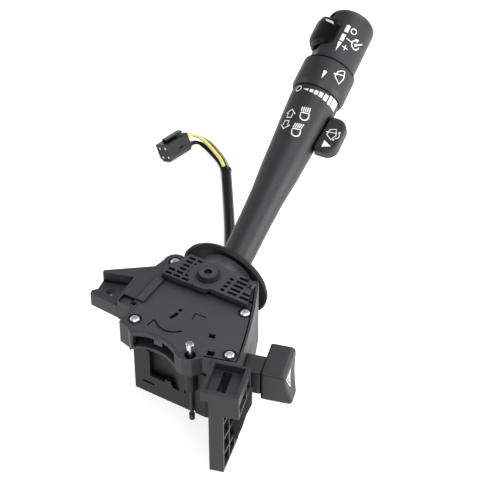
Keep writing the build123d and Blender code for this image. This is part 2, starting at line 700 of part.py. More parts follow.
def lever_arm():
    """Root of the lever: fork end on the dimmer pin, neck through the shield."""
    end = cross_rod(ARM_END_R, -ARM_HALF, ARM_HALF)
    web = block((-ARM_HALF, ARM_HALF), (0, NECK_START + 2), (0.4 - ARM_END_R, ARM_END_R - 0.4))
    neck = rod(NECK_R, NECK_START, SHIELD_AT + 8)
    neck = chamfer(neck.edges().group_by(Axis.Y)[0], 1.2)
    body = end + web + neck
    body -= cross_rod(DIMMER_PIN_R + RUN_FIT, -20, 20)
    body -= rod(SHAFT_R + RUN_FIT, 11, SHIELD_AT + 9)
    return LEVER * body


def dimmer_pin():
    """Cross pin that the lever tilts on."""
    return HEADED * Pos(LEVER_OFFSET, 0, LEVER_AXIS_Z) * cross_rod(DIMMER_PIN_R, 1.6 - DRUM_R, DRUM_R - 1.6)


def dust_shield():
    """Shallow dish round the lever that hides the column opening."""
    rim = SHIELD_R
    inner = SHIELD_R - SHIELD_T
    dish = SHIELD * turned([
        (4, 0), (rim - 6, 0), (rim - 2.4, -1.3), (rim - 0.6, -3.4), (rim, -SHIELD_RIM),
        (inner, -SHIELD_RIM), (inner - 0.6, -3.9), (inner - 2.2, -2.5), (inner - 5, -SHIELD_T),
        (SHIELD_HUB_R, -SHIELD_T), (SHIELD_HUB_R - 1.2, -SHIELD_T - 6.5), (SHIELD_HUB_R - 2.2, -SHIELD_T - 7.5),
        (4, -SHIELD_T - 7.5),
    ])
    return dish - LEVER * rod(NECK_R, 0, 80)


def tube_profile(grow):
    """Outer radius and place along the stalk, from the shield to the band."""
    rise = TUBE_END_R - TUBE_START_R
    flare = [(TUBE_START_R + rise * share_r + grow, TUBE_END * share) for share, share_r in TUBE_SHAPE]
    return outline([
        (0, SHIELD_AT - 12), (14.0 + grow, SHIELD_AT - 12), (14.0 + grow, SHIELD_AT - 5),
        (10.7 + grow, SHIELD_AT + 3.2), (TUBE_START_R + grow, SHIELD_AT + 11), *flare,
        (TUBE_END_R + grow, TUBE_END), (0, TUBE_END),
    ])


def lever_tube():
    """Tapered stalk tube, with the paddle pocket and the spigot for band and cap."""
    body = revolve(tube_profile(0), Axis.Y)
    body += rod(SPIGOT_R, TUBE_END - 1, CAP_START + 8)
    body -= rod(NECK_R, 0, SHIELD_AT + 8)
    body -= rod(SHAFT_R + RUN_FIT, 30, BAND_START + 18)
    body -= Pos(0, BAND_START + 11, 0) * peg_fan()
    pocket = block(
        (PADDLE_PIN_X - 1.8, 30),
        (PADDLE_LOW + 4 - FREE_GAP, PADDLE_HIGH - 4 + FREE_GAP),
        (-PADDLE_ROOT_HALF - 0.6, PADDLE_ROOT_HALF + 0.6),
    )
    body -= pocket
    body -= Pos(PADDLE_PIN_X, 0, 0) * rod(PADDLE_PIN_R + RUN_FIT, PADDLE_LOW + 1.5, PADDLE_HIGH - 1.5)
    body = LEVER * body
    return body - SHIELD * block((-40, 40), (-60, 0), (-40, 40))


def peg_fan():
    """Fan-shaped slot for the shaft's drive peg, over the band's whole turn."""
    half_turn = BAND_TURN + 14
    half_wide = DRIVE_PEG_R + FREE_GAP
    reach = SPIGOT_R + 1
    strip = Pos(reach / 2, 0) * Rectangle(reach, 2 * half_wide)
    fan = Rot(Y=-90 - half_turn) * revolve(strip, Axis.Y, revolution_arc=2 * half_turn)
    end = block((-half_wide, half_wide), (-half_wide, half_wide), (0, reach))
    return fan + Rot(Y=-BAND_TURN) * end + Rot(Y=BAND_TURN) * end


def wiper_shaft():
    """Shaft inside the stalk that carries the band's turn down to the switch."""
    body = rod(SHAFT_R, 12, BAND_START + 17.5)
    peg = Pos(0, BAND_START + 11, (SPIGOT_R + 2.5) / 2) * Cylinder(DRIVE_PEG_R, SPIGOT_R + 2.5)
    body += peg
    body -= rod(SHAFT_R - 1.6, 11, BAND_START + 7)
    return LEVER * body


def wiper_band():
    """Turning band on the stalk, keyed to the shaft's peg."""
    bore = SPIGOT_R + RUN_FIT
    body = turned([
        (bore, BAND_START), (BAND_R - 1.3, BAND_START), (BAND_R, BAND_START + 3.4), (BAND_R, BAND_END - 0.7),
        (BAND_R - 0.4, BAND_END), (bore, BAND_END),
    ])
    body -= Pos(0, BAND_START + 11, (SPIGOT_R + 2.5) / 2) * Cylinder(DRIVE_PEG_R, SPIGOT_R + 2.5)
    return LEVER * body


def end_cap():
    """Hollow cap past the band, with the slider's flat and slot and the set button's bore."""
    dome = [
        (CAP_R - CAP_EDGE * (1 - cos(radians(angle))), CAP_END - CAP_EDGE * (1 - sin(radians(angle))))
        for angle in (0, 18, 36, 54, 72, 90)
    ]
    body = turned([(0, CAP_START), (CAP_R, CAP_START), *dome, (0, CAP_END)])
    body -= rod(CAP_R - CAP_WALL, CAP_START + 8, CAP_END - 3)
    body -= rod(SPIGOT_R, CAP_START - 1, CAP_START + 9)
    body -= rod(SET_R + FREE_GAP, CAP_END - 5, CAP_END + 1)
    body = LEVER * body
    low = THUMB_LOW - FREE_GAP
    flat = block(
        (-THUMB_HALF - 2, THUMB_HALF + 2),
        (CAP_START - THUMB_AT - 1, THUMB_R + FREE_GAP),
        (low, CAP_R + 1),
    )
    slot = block((-2.8, 2.8), (-4.3 - THUMB_TRAVEL, 4.3), (CAP_R - CAP_WALL - 3, CAP_R))
    return body - THUMB * flat - THUMB * slot


def cruise_slider():
    """Thumb slider with a finger dish, held in the cap's slot by its foot."""
    disc = Pos(0, 0, (THUMB_LOW + THUMB_HIGH) / 2) * Cylinder(THUMB_R, THUMB_HIGH - THUMB_LOW)
    disc = disc & block((-THUMB_HALF, THUMB_HALF), (-20, 20), (0, 30))
    disc = disc & Pos(0, 0, THUMB_HIGH - THUMB_ARCH_R) * cross_rod(THUMB_ARCH_R, -20, 20)
    disc -= Pos(0, -0.8, THUMB_HIGH + THUMB_DISH_R - THUMB_DISH) * Sphere(THUMB_DISH_R)
    stem = block((-2.5, 2.5), (-4.0, 4.0), (11.0, THUMB_LOW + 0.5))
    foot = block((-3.4, 3.4), (-5.2, 5.2), (9.6, 12.2))
    return THUMB * (disc + stem + foot)


def set_button():
    """Push button in the end of the cap."""
    flange_top = CAP_END - 3 - FREE_GAP
    body = rod(SET_R, flange_top - 1, CAP_END + SET_PROUD)
    body = chamfer(body.edges().group_by(Axis.Y)[-1], 0.8)
    body += rod(SET_R + 2.2, flange_top - 2.4, flange_top)
    return LEVER * body


def wash_paddle():
    """Washer paddle: rounded plate, root in the stalk's pocket and its hinge pin."""
    wide = PADDLE_OUT - 10
    plate = Pos(10 + wide / 2, (PADDLE_LOW + PADDLE_HIGH) / 2) * RectangleRounded(
        wide, PADDLE_HIGH - PADDLE_LOW, 7.5
    )
    body = prism(plate, -PADDLE_HALF_T, PADDLE_HALF_T)
    body = chamfer(body.edges().group_by(Axis.Z)[-1], 1.1)
    body -= revolve(tube_profile(PADDLE_GAP), Axis.Y)
    body += block((PADDLE_PIN_X, 20), (PADDLE_LOW + 4, PADDLE_HIGH - 4), (-PADDLE_ROOT_HALF, PADDLE_ROOT_HALF))
    eye = Pos(PADDLE_PIN_X, 0, 0) * rod(PADDLE_PIN_R, PADDLE_LOW + 2, PADDLE_HIGH - 2)
    return LEVER * (body + eye)


def tray():
    """Open tray at the bracket's top, with the long slot in its floor."""
    body = block((TRAY_LEFT, TRAY_RIGHT), (TRAY_FRONT, SIDE_FRONT), (TRAY_FLOOR_BOTTOM, 0))
    body -= block(
        (TRAY_LEFT + TRAY_WALL, TRAY_RIGHT - TRAY_WALL),
        (TRAY_FRONT + TRAY_WALL + 0.6, SIDE_FRONT - TRAY_WALL + 0.6),
        (TRAY_FLOOR_TOP, 1),
    )
    return body


def leg_face():
    """Side view of the leg: across the bracket as X, height as Y."""
    return outline([
        (TRAY_FRONT, TRAY_FLOOR_BOTTOM), (TRAY_FRONT, LEG_FRONT_BOTTOM), (LEG_HEEL_Y, LEG_HEEL_Z),
        (-53.5, LEG_HEEL_Z + 2.6), (-41, -55.0), (-36, LOWER_BOTTOM - BASE_T), (SIDE_FRONT, LOWER_BOTTOM - BASE_T),
        (SIDE_FRONT, TRAY_FLOOR_BOTTOM),
    ])


def on_side(face, x_low, x_high):
    """Run a side-view face across the bracket between two X values."""
    return Pos(x_low, 0, 0) * extrude(Plane.YZ * face, amount=x_high - x_low, dir=(1, 0, 0))


def leg():
    """Leg under the tray: web, flange all round and crossed ribs, open to the right."""
    face = leg_face()
    body = on_side(face, LEG_LEFT, LEG_RIGHT)
    ribs = Sketch()
    for height in range(5):
        ribs += Pos(-74.0, -29.0 - 12.7 * height) * Rot(Z=-16.5) * Rectangle(60, LEG_RIB)
    for across in (-77.0, -65.5):
        ribs += Pos(across, -45) * Rectangle(LEG_RIB, 80)
    pockets = offset(face, amount=-LEG_WEB) - ribs
    return body - on_side(pockets, LEG_LEFT + LEG_WEB, LEG_RIGHT + 1)


def gusset():
    """Tapered plate at the bracket's back, between the block and the leg."""
    edge = TRAY_RIGHT + 1.0
    plate = outline([
        (LEG_RIGHT - 1, BLOCK_BOTTOM + 1), (edge, BLOCK_BOTTOM + 1), (edge, -29.5), (edge - 3.2, -38.8),
        (edge - 5.9, -50.8), (LEG_RIGHT + 1.4, -61.0), (LEG_RIGHT - 1, -61.0),
    ])
    return Pos(0, SIDE_FRONT - LEG_WEB, 0) * extrude(Plane.XZ * plate, amount=LEG_WEB, dir=(0, 1, 0))


def guide_bracket():
    """Bracket on the right side: slotted tray, stiffening block and ribbed leg."""
    body = tray() + leg()
    side_block = block((LEG_RIGHT - 1, TRAY_RIGHT), (TRAY_FRONT, SIDE_FRONT), (BLOCK_BOTTOM, TRAY_FLOOR_BOTTOM))
    for front in (TRAY_FRONT + LEG_WEB, -81.0, -72.4):
        side_block -= block(
            (LEG_RIGHT + 1, TRAY_RIGHT + 1), (front, front + 7.2),
            (BLOCK_BOTTOM + LEG_WEB, TRAY_FLOOR_BOTTOM),
        )
    body += side_block + gusset()
    body -= block(
        (TRAY_SLOT_LEFT, TRAY_SLOT_RIGHT), (TRAY_FRONT + 6.5, SIDE_FRONT - TRAY_WALL),
        (TRAY_FLOOR_BOTTOM - 14, TRAY_FLOOR_TOP + 1),
    )
    return SIDE * body


def hazard_stem():
    """Flat stem of the hazard button, through the right wall."""
    stem = block((STEM_INNER, KNOB_INNER), (STEM_FRONT, STEM_BACK), (STEM_BOTTOM, STEM_TOP))
    return SIDE * fillet(stem.edges().filter_by(Axis.X), 0.8)


def hazard_knob():
    """Hazard button's knob, with a hollow outer face that kicks out at the bottom."""
    inner_top = (KNOB_INNER, STEM_TOP)
    inner_bottom = (KNOB_INNER, KNOB_BOTTOM)
    top_out = (KNOB_TOP_OUT, STEM_TOP)
    bottom_out = (KNOB_BOTTOM_OUT, KNOB_BOTTOM)
    hollow = ThreePointArc(top_out, (KNOB_TOP_OUT + 1.2, -22.5), bottom_out)
    face = make_face([Polyline(bottom_out, inner_bottom, inner_top, top_out), hollow])
    face = fillet(face.vertices().sort_by(Axis.X)[-2:], 2.4)
    knob = extrude(Plane.XZ * face, amount=KNOB_BACK - STEM_FRONT, dir=(0, 1, 0))
    knob = Pos(0, STEM_FRONT, 0) * knob
    ends = knob.edges().group_by(Axis.Y)
    knob = chamfer(ends[0] + ends[-1], 0.9)
    heel = outline([
        (KNOB_BACK + 1, STEM_TOP - 4), (KNOB_BACK, STEM_TOP - 4), (KNOB_BACK - 19, KNOB_BOTTOM),
        (KNOB_BACK - 19, KNOB_BOTTOM - 1), (KNOB_BACK + 1, KNOB_BOTTOM - 1),
    ])
    return SIDE * (knob - on_side(heel, KNOB_INNER - 1, KNOB_BOTTOM_OUT + 1))


def cable_grommet():
    """Rubber ring that the pigtail's sleeve leaves the duct through."""
    bore = rod(SLEEVE_R + RUN_FIT, 0, 40)
    body = rod(DUCT_R - 1.6, CASE_BACK - 4, CASE_BACK) + rod(DUCT_R - 0.4, CASE_BACK, CASE_BACK + 2.0)
    return Pos(DUCT_X, 0, DUCT_Z) * (body - bore)


def cord_tube(route, radius):
    """Round cord along straight runs joined by arcs as large as the runs allow."""
    points = [Vector(*point) for point in route]
    radii = []
    for before, corner, after in zip(points, points[1:], points[2:]):
        turn = (corner - before).get_angle(after - corner)
        shorter = min((corner - before).length, (after - corner).length)
        radii.append(0.45 * shorter / tan(radians(turn / 2)))
    path = FilletPolyline(*points, radius=radii)
    start = Plane(origin=points[0], z_dir=points[1] - points[0])
    tube = sweep(start * Circle(radius), path=path)
    ideal = 3.14159265 * radius**2 * path.length
    print("bend radii", [round(value, 1) for value in radii], "length", round(path.length, 1),
          "volume ratio", round(tube.volume / ideal, 4))
    return tube


SLEEVE_ROUTE = [
    (DUCT_X, CASE_BACK - 4, DUCT_Z), (DUCT_X, 30, DUCT_Z), (-24.0, 56, -63.6), (-35.0, 79, -65.2),
    (-47.0, 101.0, -65.2), (-67.9, 132.8, -65.2), (-89.1, 164.0, -65.2),
]
WIRE_ROUTE = [(-95.4, 173.3, -65.0), (-104.8, 180.2, -63.8), (-115.2, 183.2, -62.2)]
WIRE_LEAD = 8.6
WIRES = {"wire_tan": (-1, 1), "wire_yellow": (1, 1), "wire_white": (-1, -1), "wire_black": (1, -1)}


def wire(across, up):
    """One wire from the sleeve's end to its cavity in the plug's back."""
    back = PLUG * Pos(0, PLUG_LONG, 0)
    lead = PLUG * Pos(0, PLUG_LONG + WIRE_LEAD, 0)
    sleeve_end = Vector(*SLEEVE_ROUTE[-1])
    sleeve_run = (sleeve_end - Vector(*SLEEVE_ROUTE[-2])).normalized()
    centres = [sleeve_end + sleeve_run * FREE_GAP]
    centres += [Vector(*place) for place in WIRE_ROUTE]
    centres += [lead.position, back.position]
    before = [Vector(*SLEEVE_ROUTE[-2])] + centres[:-1]
    after = centres[1:] + [centres[-1] * 2 - centres[-2]]
    after[0] = centres[0] * 2 - before[0]
    before[-2] = centres[-2] * 2 - centres[-1]
    last = len(centres) - 2
    points = []
    for step, (centre, behind, ahead) in enumerate(zip(centres, before, after)):
        share = min(max(step - 1, 0) / (last - 1), 1)
        left = Vector(0, 0, 1).cross(ahead - behind).normalized()
        roll = radians(-PLUG_ROLL * share)
        out = across * (WIRE_R + 0.2 + share * (PLUG_PITCH_X / 2 - WIRE_R - 0.2))
        lift = up * (WIRE_R + 0.2 + share * (PLUG_PITCH_Z / 2 - WIRE_R - 0.2))
        side = out * cos(roll) - lift * sin(roll)
        height = out * sin(roll) + lift * cos(roll)
        points.append(tuple(centre + left * side + Vector(0, 0, height)))
    return cord_tube(points, WIRE_R)


def plug_housing():
    """Four-way plug: keyed body with chamfered lower corners, latch and wire cavities."""
    half = PLUG_WIDE / 2
    low = -PLUG_TALL / 2
    section = outline([
        (-half + PLUG_CHAMFER, low), (half - PLUG_CHAMFER, low), (half, low + PLUG_CHAMFER),
        (half, -low), (-half, -low), (-half, low + PLUG_CHAMFER),
    ])
    body = extrude(Plane.XZ * section, amount=PLUG_LONG, dir=(0, 1, 0))
    body = fillet(body.edges().filter_by(Axis.Y).group_by(Axis.Z)[-1], 0.8)
    latch = block((-2.6, 2.6), (4.0, PLUG_LONG - 1), (-low, -low + 2.2))
    latch -= block((-3, 3), (PLUG_LONG - 7, PLUG_LONG), (-low + 0.01, -low + 1.1))
    body += latch
    body -= block((half - 0.8, half + 1), (9.0, 13.0), (-1.0, 0.2))
    for x in (-PLUG_PITCH_X / 2, PLUG_PITCH_X / 2):
        for z in (-PLUG_PITCH_Z / 2, PLUG_PITCH_Z / 2):
            body -= Pos(x, 0, z) * rod(PLUG_HOLE_R, -1, 8.0)
            body -= Pos(x, 0, z) * rod(PLUG_HOLE_R + 0.5, 7.9, 16.0)
    return PLUG * body


def plug_terminals():
    """Crimp sockets inside the plug's cavities."""
    sockets = []
    for x in (-PLUG_PITCH_X / 2, PLUG_PITCH_X / 2):
        for z in (-PLUG_PITCH_Z / 2, PLUG_PITCH_Z / 2):
            socket = rod(PLUG_HOLE_R + 0.5, 8.0, 16.0) - rod(0.9, 7.9, 14.0)
            sockets.append(PLUG * (Pos(x, 0, z) * socket))
    return Compound(sockets)


save("main_case", main_case())
save("cover_plate", cover_plate())
save("cover_screws", cover_screws())
save("column_screw", column_screw())
save("lower_case", lower_case())
save("base_cover", base_cover())
save("circuit_board", circuit_board())
save("terminal_pins", terminal_pins())
save("contact_slider", contact_slider())
save("turn_carrier", turn_carrier())
save("cancel_pawl", cancel_pawl())
save("turn_detent", turn_detent())
save("detent_spring", detent_spring())
save("detent_plate", detent_plate())
save("dimmer_pin", dimmer_pin())
save("lever_arm", lever_arm())
save("dust_shield", dust_shield())
save("lever_tube", lever_tube())
save("wiper_shaft", wiper_shaft())
save("wiper_band", wiper_band())
save("end_cap", end_cap())
save("cruise_slider", cruise_slider())
save("set_button", set_button())
save("wash_paddle", wash_paddle())
save("guide_bracket", guide_bracket())
save("hazard_stem", hazard_stem())
save("hazard_knob", hazard_knob())
save("cable_grommet", cable_grommet())
save("harness_sleeve", cord_tube(SLEEVE_ROUTE, SLEEVE_R))
for wire_name, (across, up) in WIRES.items():
    save(wire_name, wire(across, up))
save("plug_housing", plug_housing())
save("plug_terminals", plug_terminals())
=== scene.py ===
"""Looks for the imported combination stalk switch, laid out as an add-on and run as a script.

Lengths in this file are millimetres in the cover frame (origin at the turn pivot on the cover's top,
+Z out of the cover, +Y towards the lever), and place() turns them into the model's own metres.
"""

from math import cos, exp, pi, radians, sin, sqrt

import bmesh
import bpy
from bpy.props import FloatProperty, PointerProperty, StringProperty
from mathutils import Matrix, Vector


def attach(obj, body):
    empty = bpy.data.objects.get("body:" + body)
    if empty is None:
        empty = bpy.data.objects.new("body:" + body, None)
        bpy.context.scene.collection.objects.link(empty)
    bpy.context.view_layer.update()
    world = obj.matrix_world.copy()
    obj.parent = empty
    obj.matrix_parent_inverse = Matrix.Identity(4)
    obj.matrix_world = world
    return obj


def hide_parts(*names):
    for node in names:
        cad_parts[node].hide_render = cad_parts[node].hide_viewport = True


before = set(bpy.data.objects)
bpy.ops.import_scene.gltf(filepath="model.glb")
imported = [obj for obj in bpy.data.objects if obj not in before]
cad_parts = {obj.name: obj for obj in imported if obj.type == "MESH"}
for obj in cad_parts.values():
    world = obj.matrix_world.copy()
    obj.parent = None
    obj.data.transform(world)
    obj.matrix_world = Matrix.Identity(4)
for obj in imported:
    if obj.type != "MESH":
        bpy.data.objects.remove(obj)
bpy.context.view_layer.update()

bl_info = {
    "name": "Combination Stalk Switch",
    "version": (1, 0, 0),
    "blender": (4, 5, 0),
    "location": "View3D > Sidebar > Stalk Switch",
    "description": "Dresses the packed stalk switch with plastics, metals, prints, pigtail and stage",
    "category": "Object",
}

MM = 0.001
# Where the turn pivot lies from the ear's hole, and how the lever and the right side lie at it.
TURN_PIVOT = Vector((49.2, 32.4, 7.0))
HEADING = radians(5.44)
RISE = radians(20.06)
LEVER_ROOT = Vector((-2.25, 0.0, -34.16))
SIDE_TURN = radians(16.0)
FLOOR_Z = -69.0

# Camera of the photograph: where it stands and how it looks at the object.
VIEW_AZIMUTH = radians(31.0)
VIEW_ELEVATION = radians(42.0)
CAMERA_PLACE = Vector((433.9, -673.4, 745.9))
FOCAL_MM = 130.7
SENSOR_MM = 36.0

# Softboxes: where each stands, what it looks at and the side of its square.
SOFTBOXES = (
    ("key_light", (150, 560, 430), (0, 60, -20), 560),
    ("side_light", (600, 200, 60), (0, 60, -10), 480),
    ("fill_light", (160, -470, 480), (0, 20, -30), 420),
    ("top_light", (260, -60, 560), (40, -20, -10), 260),
    ("left_light", (-560, -60, 260), (0, 20, -30), 380),
)
# The left light's share of the fill light's power.
LEFT_SHARE = 0.5
# Floor: its gap under the part, half its side in metres, and the glow that makes it white.
FLOOR_GAP = 0.2
FLOOR_HALF_M = 4.0
FLOOR_GLOW = 0.62

# Flow marks of a moulding, how far the painted shade reaches out of a corner, how deep tumbling marks
# cut a plate, the cloudy patches of printed ink, and half the blur at the edge of the long screw's dark
# lower end.
FLOW_MARKS = 14.0
PAINTED_SHADE_REACH = 3.0
TUMBLING_DEPTH = 0.02
INK_PATCHES = 0.8
DARK_END_BLUR = 0.6
# Angle from which a corner is sharp enough to be rounded or kept crisp, in degrees.
CORNER_ANGLE = 35.0

LEVER_FRAME = (
    Matrix.Rotation(HEADING, 4, "Z") @ Matrix.Translation(LEVER_ROOT) @ Matrix.Rotation(RISE, 4, "X")
)
SIDE_FRAME = Matrix.Rotation(SIDE_TURN, 4, "Z")

# Outlines of stalk, band and cap: station along the lever and outer radius.
STALK_LINE = ((112.4, 12.69), (132.4, 13.87), (148.7, 15.05), (166.0, 16.1), (172.9, 16.1))
BAND_LINE = ((173.3, 16.7), (176.7, 18.0), (194.7, 18.0), (195.4, 17.6))
CAP_LINE = ((195.8, 16.0), (232.5, 16.0))
# Height of the paddle's flat top over the lever's axis.
PADDLE_TOP = 3.8
# Cruise slider: station of its middle, half its length, the angles of its highest rim, of its back
# and of its front, and the radius that it slides on.
SLIDER_AT = 219.5
SLIDER_HALF = 12.9
SLIDER_RIM_AT = -76.0
SLIDER_BACK_AT = -100.0
SLIDER_FRONT_AT = -3.0
SLIDER_SEAT_R = 16.1
# Thumb scoop of the slider: its floor over the cap, the skirt round its rim, its arch and its two lips.
SCOOP_FLOOR = 0.15
SCOOP_SKIRT = 0.35
SCOOP_ARCH = 5.3
SCOOP_FAR_LIP = 2.6
SCOOP_NEAR_LIP = 0.8
SCOOP_TURNS = 48
SCOOP_STATIONS = 36

# Ring of painted shadow on the band's far edge: radius and station of its outline.
RING_LINE = ((17.3, 194.5), (17.9, 194.5), (18.05, 194.7), (17.85, 195.68), (17.3, 195.68))
# Paler facing over the hub inside the dust shield, painted light: radius and station of its outline, in the
# shield's own tilted frame.
SHIELD_FRAME = (
    LEVER_FRAME @ Matrix.Translation((0.0, 35.8, 0.0)) @ Matrix.Rotation(radians(-9.0), 4, "X")
    @ Matrix.Rotation(radians(-5.0), 4, "Z")
)
HUB_LINE = (
    (17.7, -1.7), (16.5, -8.15), (15.4, -9.25), (9.5, -9.25), (9.5, -8.4), (15.0, -8.4), (16.4, -1.7),
)
TURNED_SIDES = 72

# How far prints stand above their surface, how far on the slider and the knob, whose surfaces are
# less even, and how far below the surface their underside lies.
PRINT_LIFT = 0.05
THICK_LIFT = 0.12
PRINT_SINK = 0.1
# Angles of the index line's two ends on the slider's scoop, in degrees.
INDEX_BACK_AT = -46.5
INDEX_FRONT_AT = -20.5
# Hollow outer face of the hazard knob: centre of its arc in the side's X and Z, and its radius.
KNOB_HOLLOW = (100.09, -12.98)
KNOB_HOLLOW_R = 38.0


def place(point):
    """A point of the cover frame in millimetres, as a point of the model in metres."""
    return (Vector(point) + TURN_PIVOT) * MM


def lever_place(across, along, up):
    """A point of the lever's own frame, as a point of the model."""
    return place(LEVER_FRAME @ Vector((across, along, up)))


def side_place(x, y, z):
    """A point of the right side's own frame, as a point of the model."""
    return place(SIDE_FRAME @ Vector((x, y, z)))


def radius_at(line, along):
    """Radius of a turned outline at a station, straight between its points."""
    for (near, near_r), (far, far_r) in zip(line, line[1:]):
        if along <= far:
            share = max(0.0, (along - near) / (far - near))
            return near_r + share * (far_r - near_r)
    return line[-1][1]


def linear(hex_colour, alpha=1.0):
    """An sRGB hex colour as linear values."""
    channels = [int(hex_colour[i:i + 2], 16) / 255 for i in (1, 3, 5)]
    values = [c / 12.92 if c <= 0.04045 else ((c + 0.055) / 1.055) ** 2.4 for c in channels]
    return (*values, alpha)


def add_node(tree, kind, settings=None, inputs=None):
    """One node with its settings, and its inputs as values or as links from other sockets."""
    node = tree.nodes.new(kind)
    for name, value in (settings or {}).items():
        setattr(node, name, value)
    for name, value in (inputs or {}).items():
        socket = node.inputs[name]
        if isinstance(value, bpy.types.NodeSocket):
            tree.links.new(value, socket)
        else:
            socket.default_value = value
    return node


def new_material(name):
    """An empty node material and its tree."""
    material = bpy.data.materials.new(name)
    material.use_nodes = True
    material.node_tree.nodes.clear()
    return material, material.node_tree


def noise(tree, width, detail, roughness=0.5):
    """Noise of a width in millimetres, fixed to the model's space."""
    spot = add_node(tree, "ShaderNodeNewGeometry")
    return add_node(tree, "ShaderNodeTexNoise", inputs={
        "Vector": spot.outputs["Position"], "Scale": 1.0 / (width * MM), "Detail": detail,
        "Roughness": roughness,
    }).outputs["Fac"]


def ranged(tree, value, low, high, start=0.3, end=0.7):
    """A value brought from its own range, start to end, into the range low to high."""
    return add_node(tree, "ShaderNodeMapRange", inputs={
        "Value": value, "From Min": start, "From Max": end, "To Min": low, "To Max": high,
    }).outputs["Result"]


def combined(tree, operation, *values):
    """Two values brought together by an operation such as MULTIPLY or MAXIMUM."""
    inputs = dict(enumerate(values))
    return add_node(tree, "ShaderNodeMath", {"operation": operation}, inputs).outputs["Value"]


def moulded_plastic(name, colour, roughness, grain, depth=0.03, mottle=0.06, shine=0.5, hollow=0.15):
    """Moulded plastic: an even colour, a fine spark-eroded grain, faint flow marks and painted shade in
    hollows.

    A real grain is about 0.1 mm wide. It is drawn several times as coarse, because it wouldn't show.
    mottle is how uneven the colour is, shine how much it reflects, and hollow how light corners stay under
    the painted shade.
    """
    material, tree = new_material(name)
    grit = noise(tree, grain, detail=3.0, roughness=0.6)
    flow = noise(tree, FLOW_MARKS, detail=4.0, roughness=0.55)
    shade = ranged(tree, flow, 1.0 - mottle, 1.0 + mottle)
    # Painted shade: corners and joints are darkened in colour and in reflection, and open faces keep their
    # colour.
    corner = add_node(tree, "ShaderNodeAmbientOcclusion", settings={"samples": 8}, inputs={
        "Distance": PAINTED_SHADE_REACH * MM,
    })
    painted_shade = ranged(tree, corner.outputs["AO"], hollow, 1.0, start=0.5, end=1.0)
    tint = add_node(tree, "ShaderNodeVectorMath", settings={"operation": "SCALE"}, inputs={
        0: linear(colour)[:3], "Scale": combined(tree, "MULTIPLY", shade, painted_shade),
    })
    bump = add_node(tree, "ShaderNodeBump", inputs={
        "Strength": 0.5, "Distance": depth * MM, "Height": grit,
    })
    shader = add_node(tree, "ShaderNodeBsdfPrincipled", inputs={
        "Base Color": tint.outputs["Vector"], "IOR": 1.5, "Normal": bump.outputs["Normal"],
        "Roughness": ranged(tree, grit, roughness - 0.06, roughness + 0.06),
        "Specular IOR Level": combined(tree, "MULTIPLY", painted_shade, shine),
    })
    add_node(tree, "ShaderNodeOutputMaterial", inputs={"Surface": shader.outputs["BSDF"]})
    return material


def plated_metal(name, colour, roughness, scratch, dark_below=None):
    """Bright plate: a cool grey mirror dulled by tumbling marks, and matt black below a height."""
    material, tree = new_material(name)
    marks = noise(tree, scratch, detail=5.0, roughness=0.65)
    bump = add_node(tree, "ShaderNodeBump", inputs={
        "Strength": 0.3, "Distance": TUMBLING_DEPTH * MM, "Height": marks,
    })
    shader = add_node(tree, "ShaderNodeBsdfPrincipled", inputs={
        "Base Color": linear(colour), "Metallic": 1.0, "Normal": bump.outputs["Normal"],
        "Roughness": ranged(tree, marks, roughness - 0.08, roughness + 0.1),
    })
    surface = shader.outputs["BSDF"]
    if dark_below is not None:
        spot = add_node(tree, "ShaderNodeNewGeometry")
        height = add_node(tree, "ShaderNodeSeparateXYZ", inputs={"Vector": spot.outputs["Position"]})
        start, end = (place((0, 0, dark_below + blur))[2] for blur in (-DARK_END_BLUR, DARK_END_BLUR))
        bare = ranged(tree, height.outputs["Z"], 0.0, 1.0, start, end)
        dark_lower = add_node(tree, "ShaderNodeBsdfPrincipled", inputs={
            "Base Color": linear("#141416"), "Roughness": 0.55, "Normal": bump.outputs["Normal"],
        })
        both = add_node(tree, "ShaderNodeMixShader", inputs={
            0: bare, 1: dark_lower.outputs["BSDF"], 2: surface,
        })
        surface = both.outputs["Shader"]
    add_node(tree, "ShaderNodeOutputMaterial", inputs={"Surface": surface})
    return material


def pad_print(name, colour):
    """Pad-printed ink: thin, matte and slightly uneven."""
    material, tree = new_material(name)
    cover = noise(tree, INK_PATCHES, detail=2.0)
    tint = add_node(tree, "ShaderNodeVectorMath", settings={"operation": "SCALE"}, inputs={
        0: linear(colour)[:3], "Scale": ranged(tree, cover, 0.9, 1.0),
    })
    shader = add_node(tree, "ShaderNodeBsdfPrincipled", inputs={
        "Base Color": tint.outputs["Vector"], "Roughness": 0.6,
    })
    add_node(tree, "ShaderNodeOutputMaterial", inputs={"Surface": shader.outputs["BSDF"]})
    return material


def dress(node, material, soften):
    """Give a carried node its material, and soften its edges as a mould does."""
    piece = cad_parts[node]
    piece.data.materials.clear()
    piece.data.materials.append(material)
    if soften:
        round_edges(piece, soften)
    shade_smooth(piece)
    return piece


def round_edges(piece, width):
    """Small rounds along sharp edges, with flats kept flat."""
    flats = piece.modifiers.new("flats", "DECIMATE")
    flats.decimate_type = "DISSOLVE"
    flats.angle_limit = radians(1.0)
    rounds = piece.modifiers.new("edge rounds", "BEVEL")
    rounds.width = width * MM
    rounds.segments = 2
    rounds.limit_method = "ANGLE"
    rounds.angle_limit = radians(CORNER_ANGLE)
    rounds.harden_normals = True
    rounds.use_clamp_overlap = True


def shade_smooth(piece, corner_angle=None):
    """Shade the faces smooth, and keep corners crisp that are sharper than an angle in degrees."""
    for face in piece.data.polygons:
        face.use_smooth = True
    if corner_angle:
        piece.data.set_sharp_from_angle(angle=radians(corner_angle))


def dress_rounded(node, material, voxel, rounds):
    """Dress a moulding with large soft edges: a fine skin over the solid, eased smooth."""
    piece = dress(node, material, soften=0)
    skin = piece.modifiers.new("skin", "REMESH")
    skin.mode = "VOXEL"
    skin.voxel_size = voxel * MM
    skin.use_smooth_shade = True
    ease = piece.modifiers.new("eased edges", "SMOOTH")
    ease.factor = 0.5
    ease.iterations = rounds
    return piece


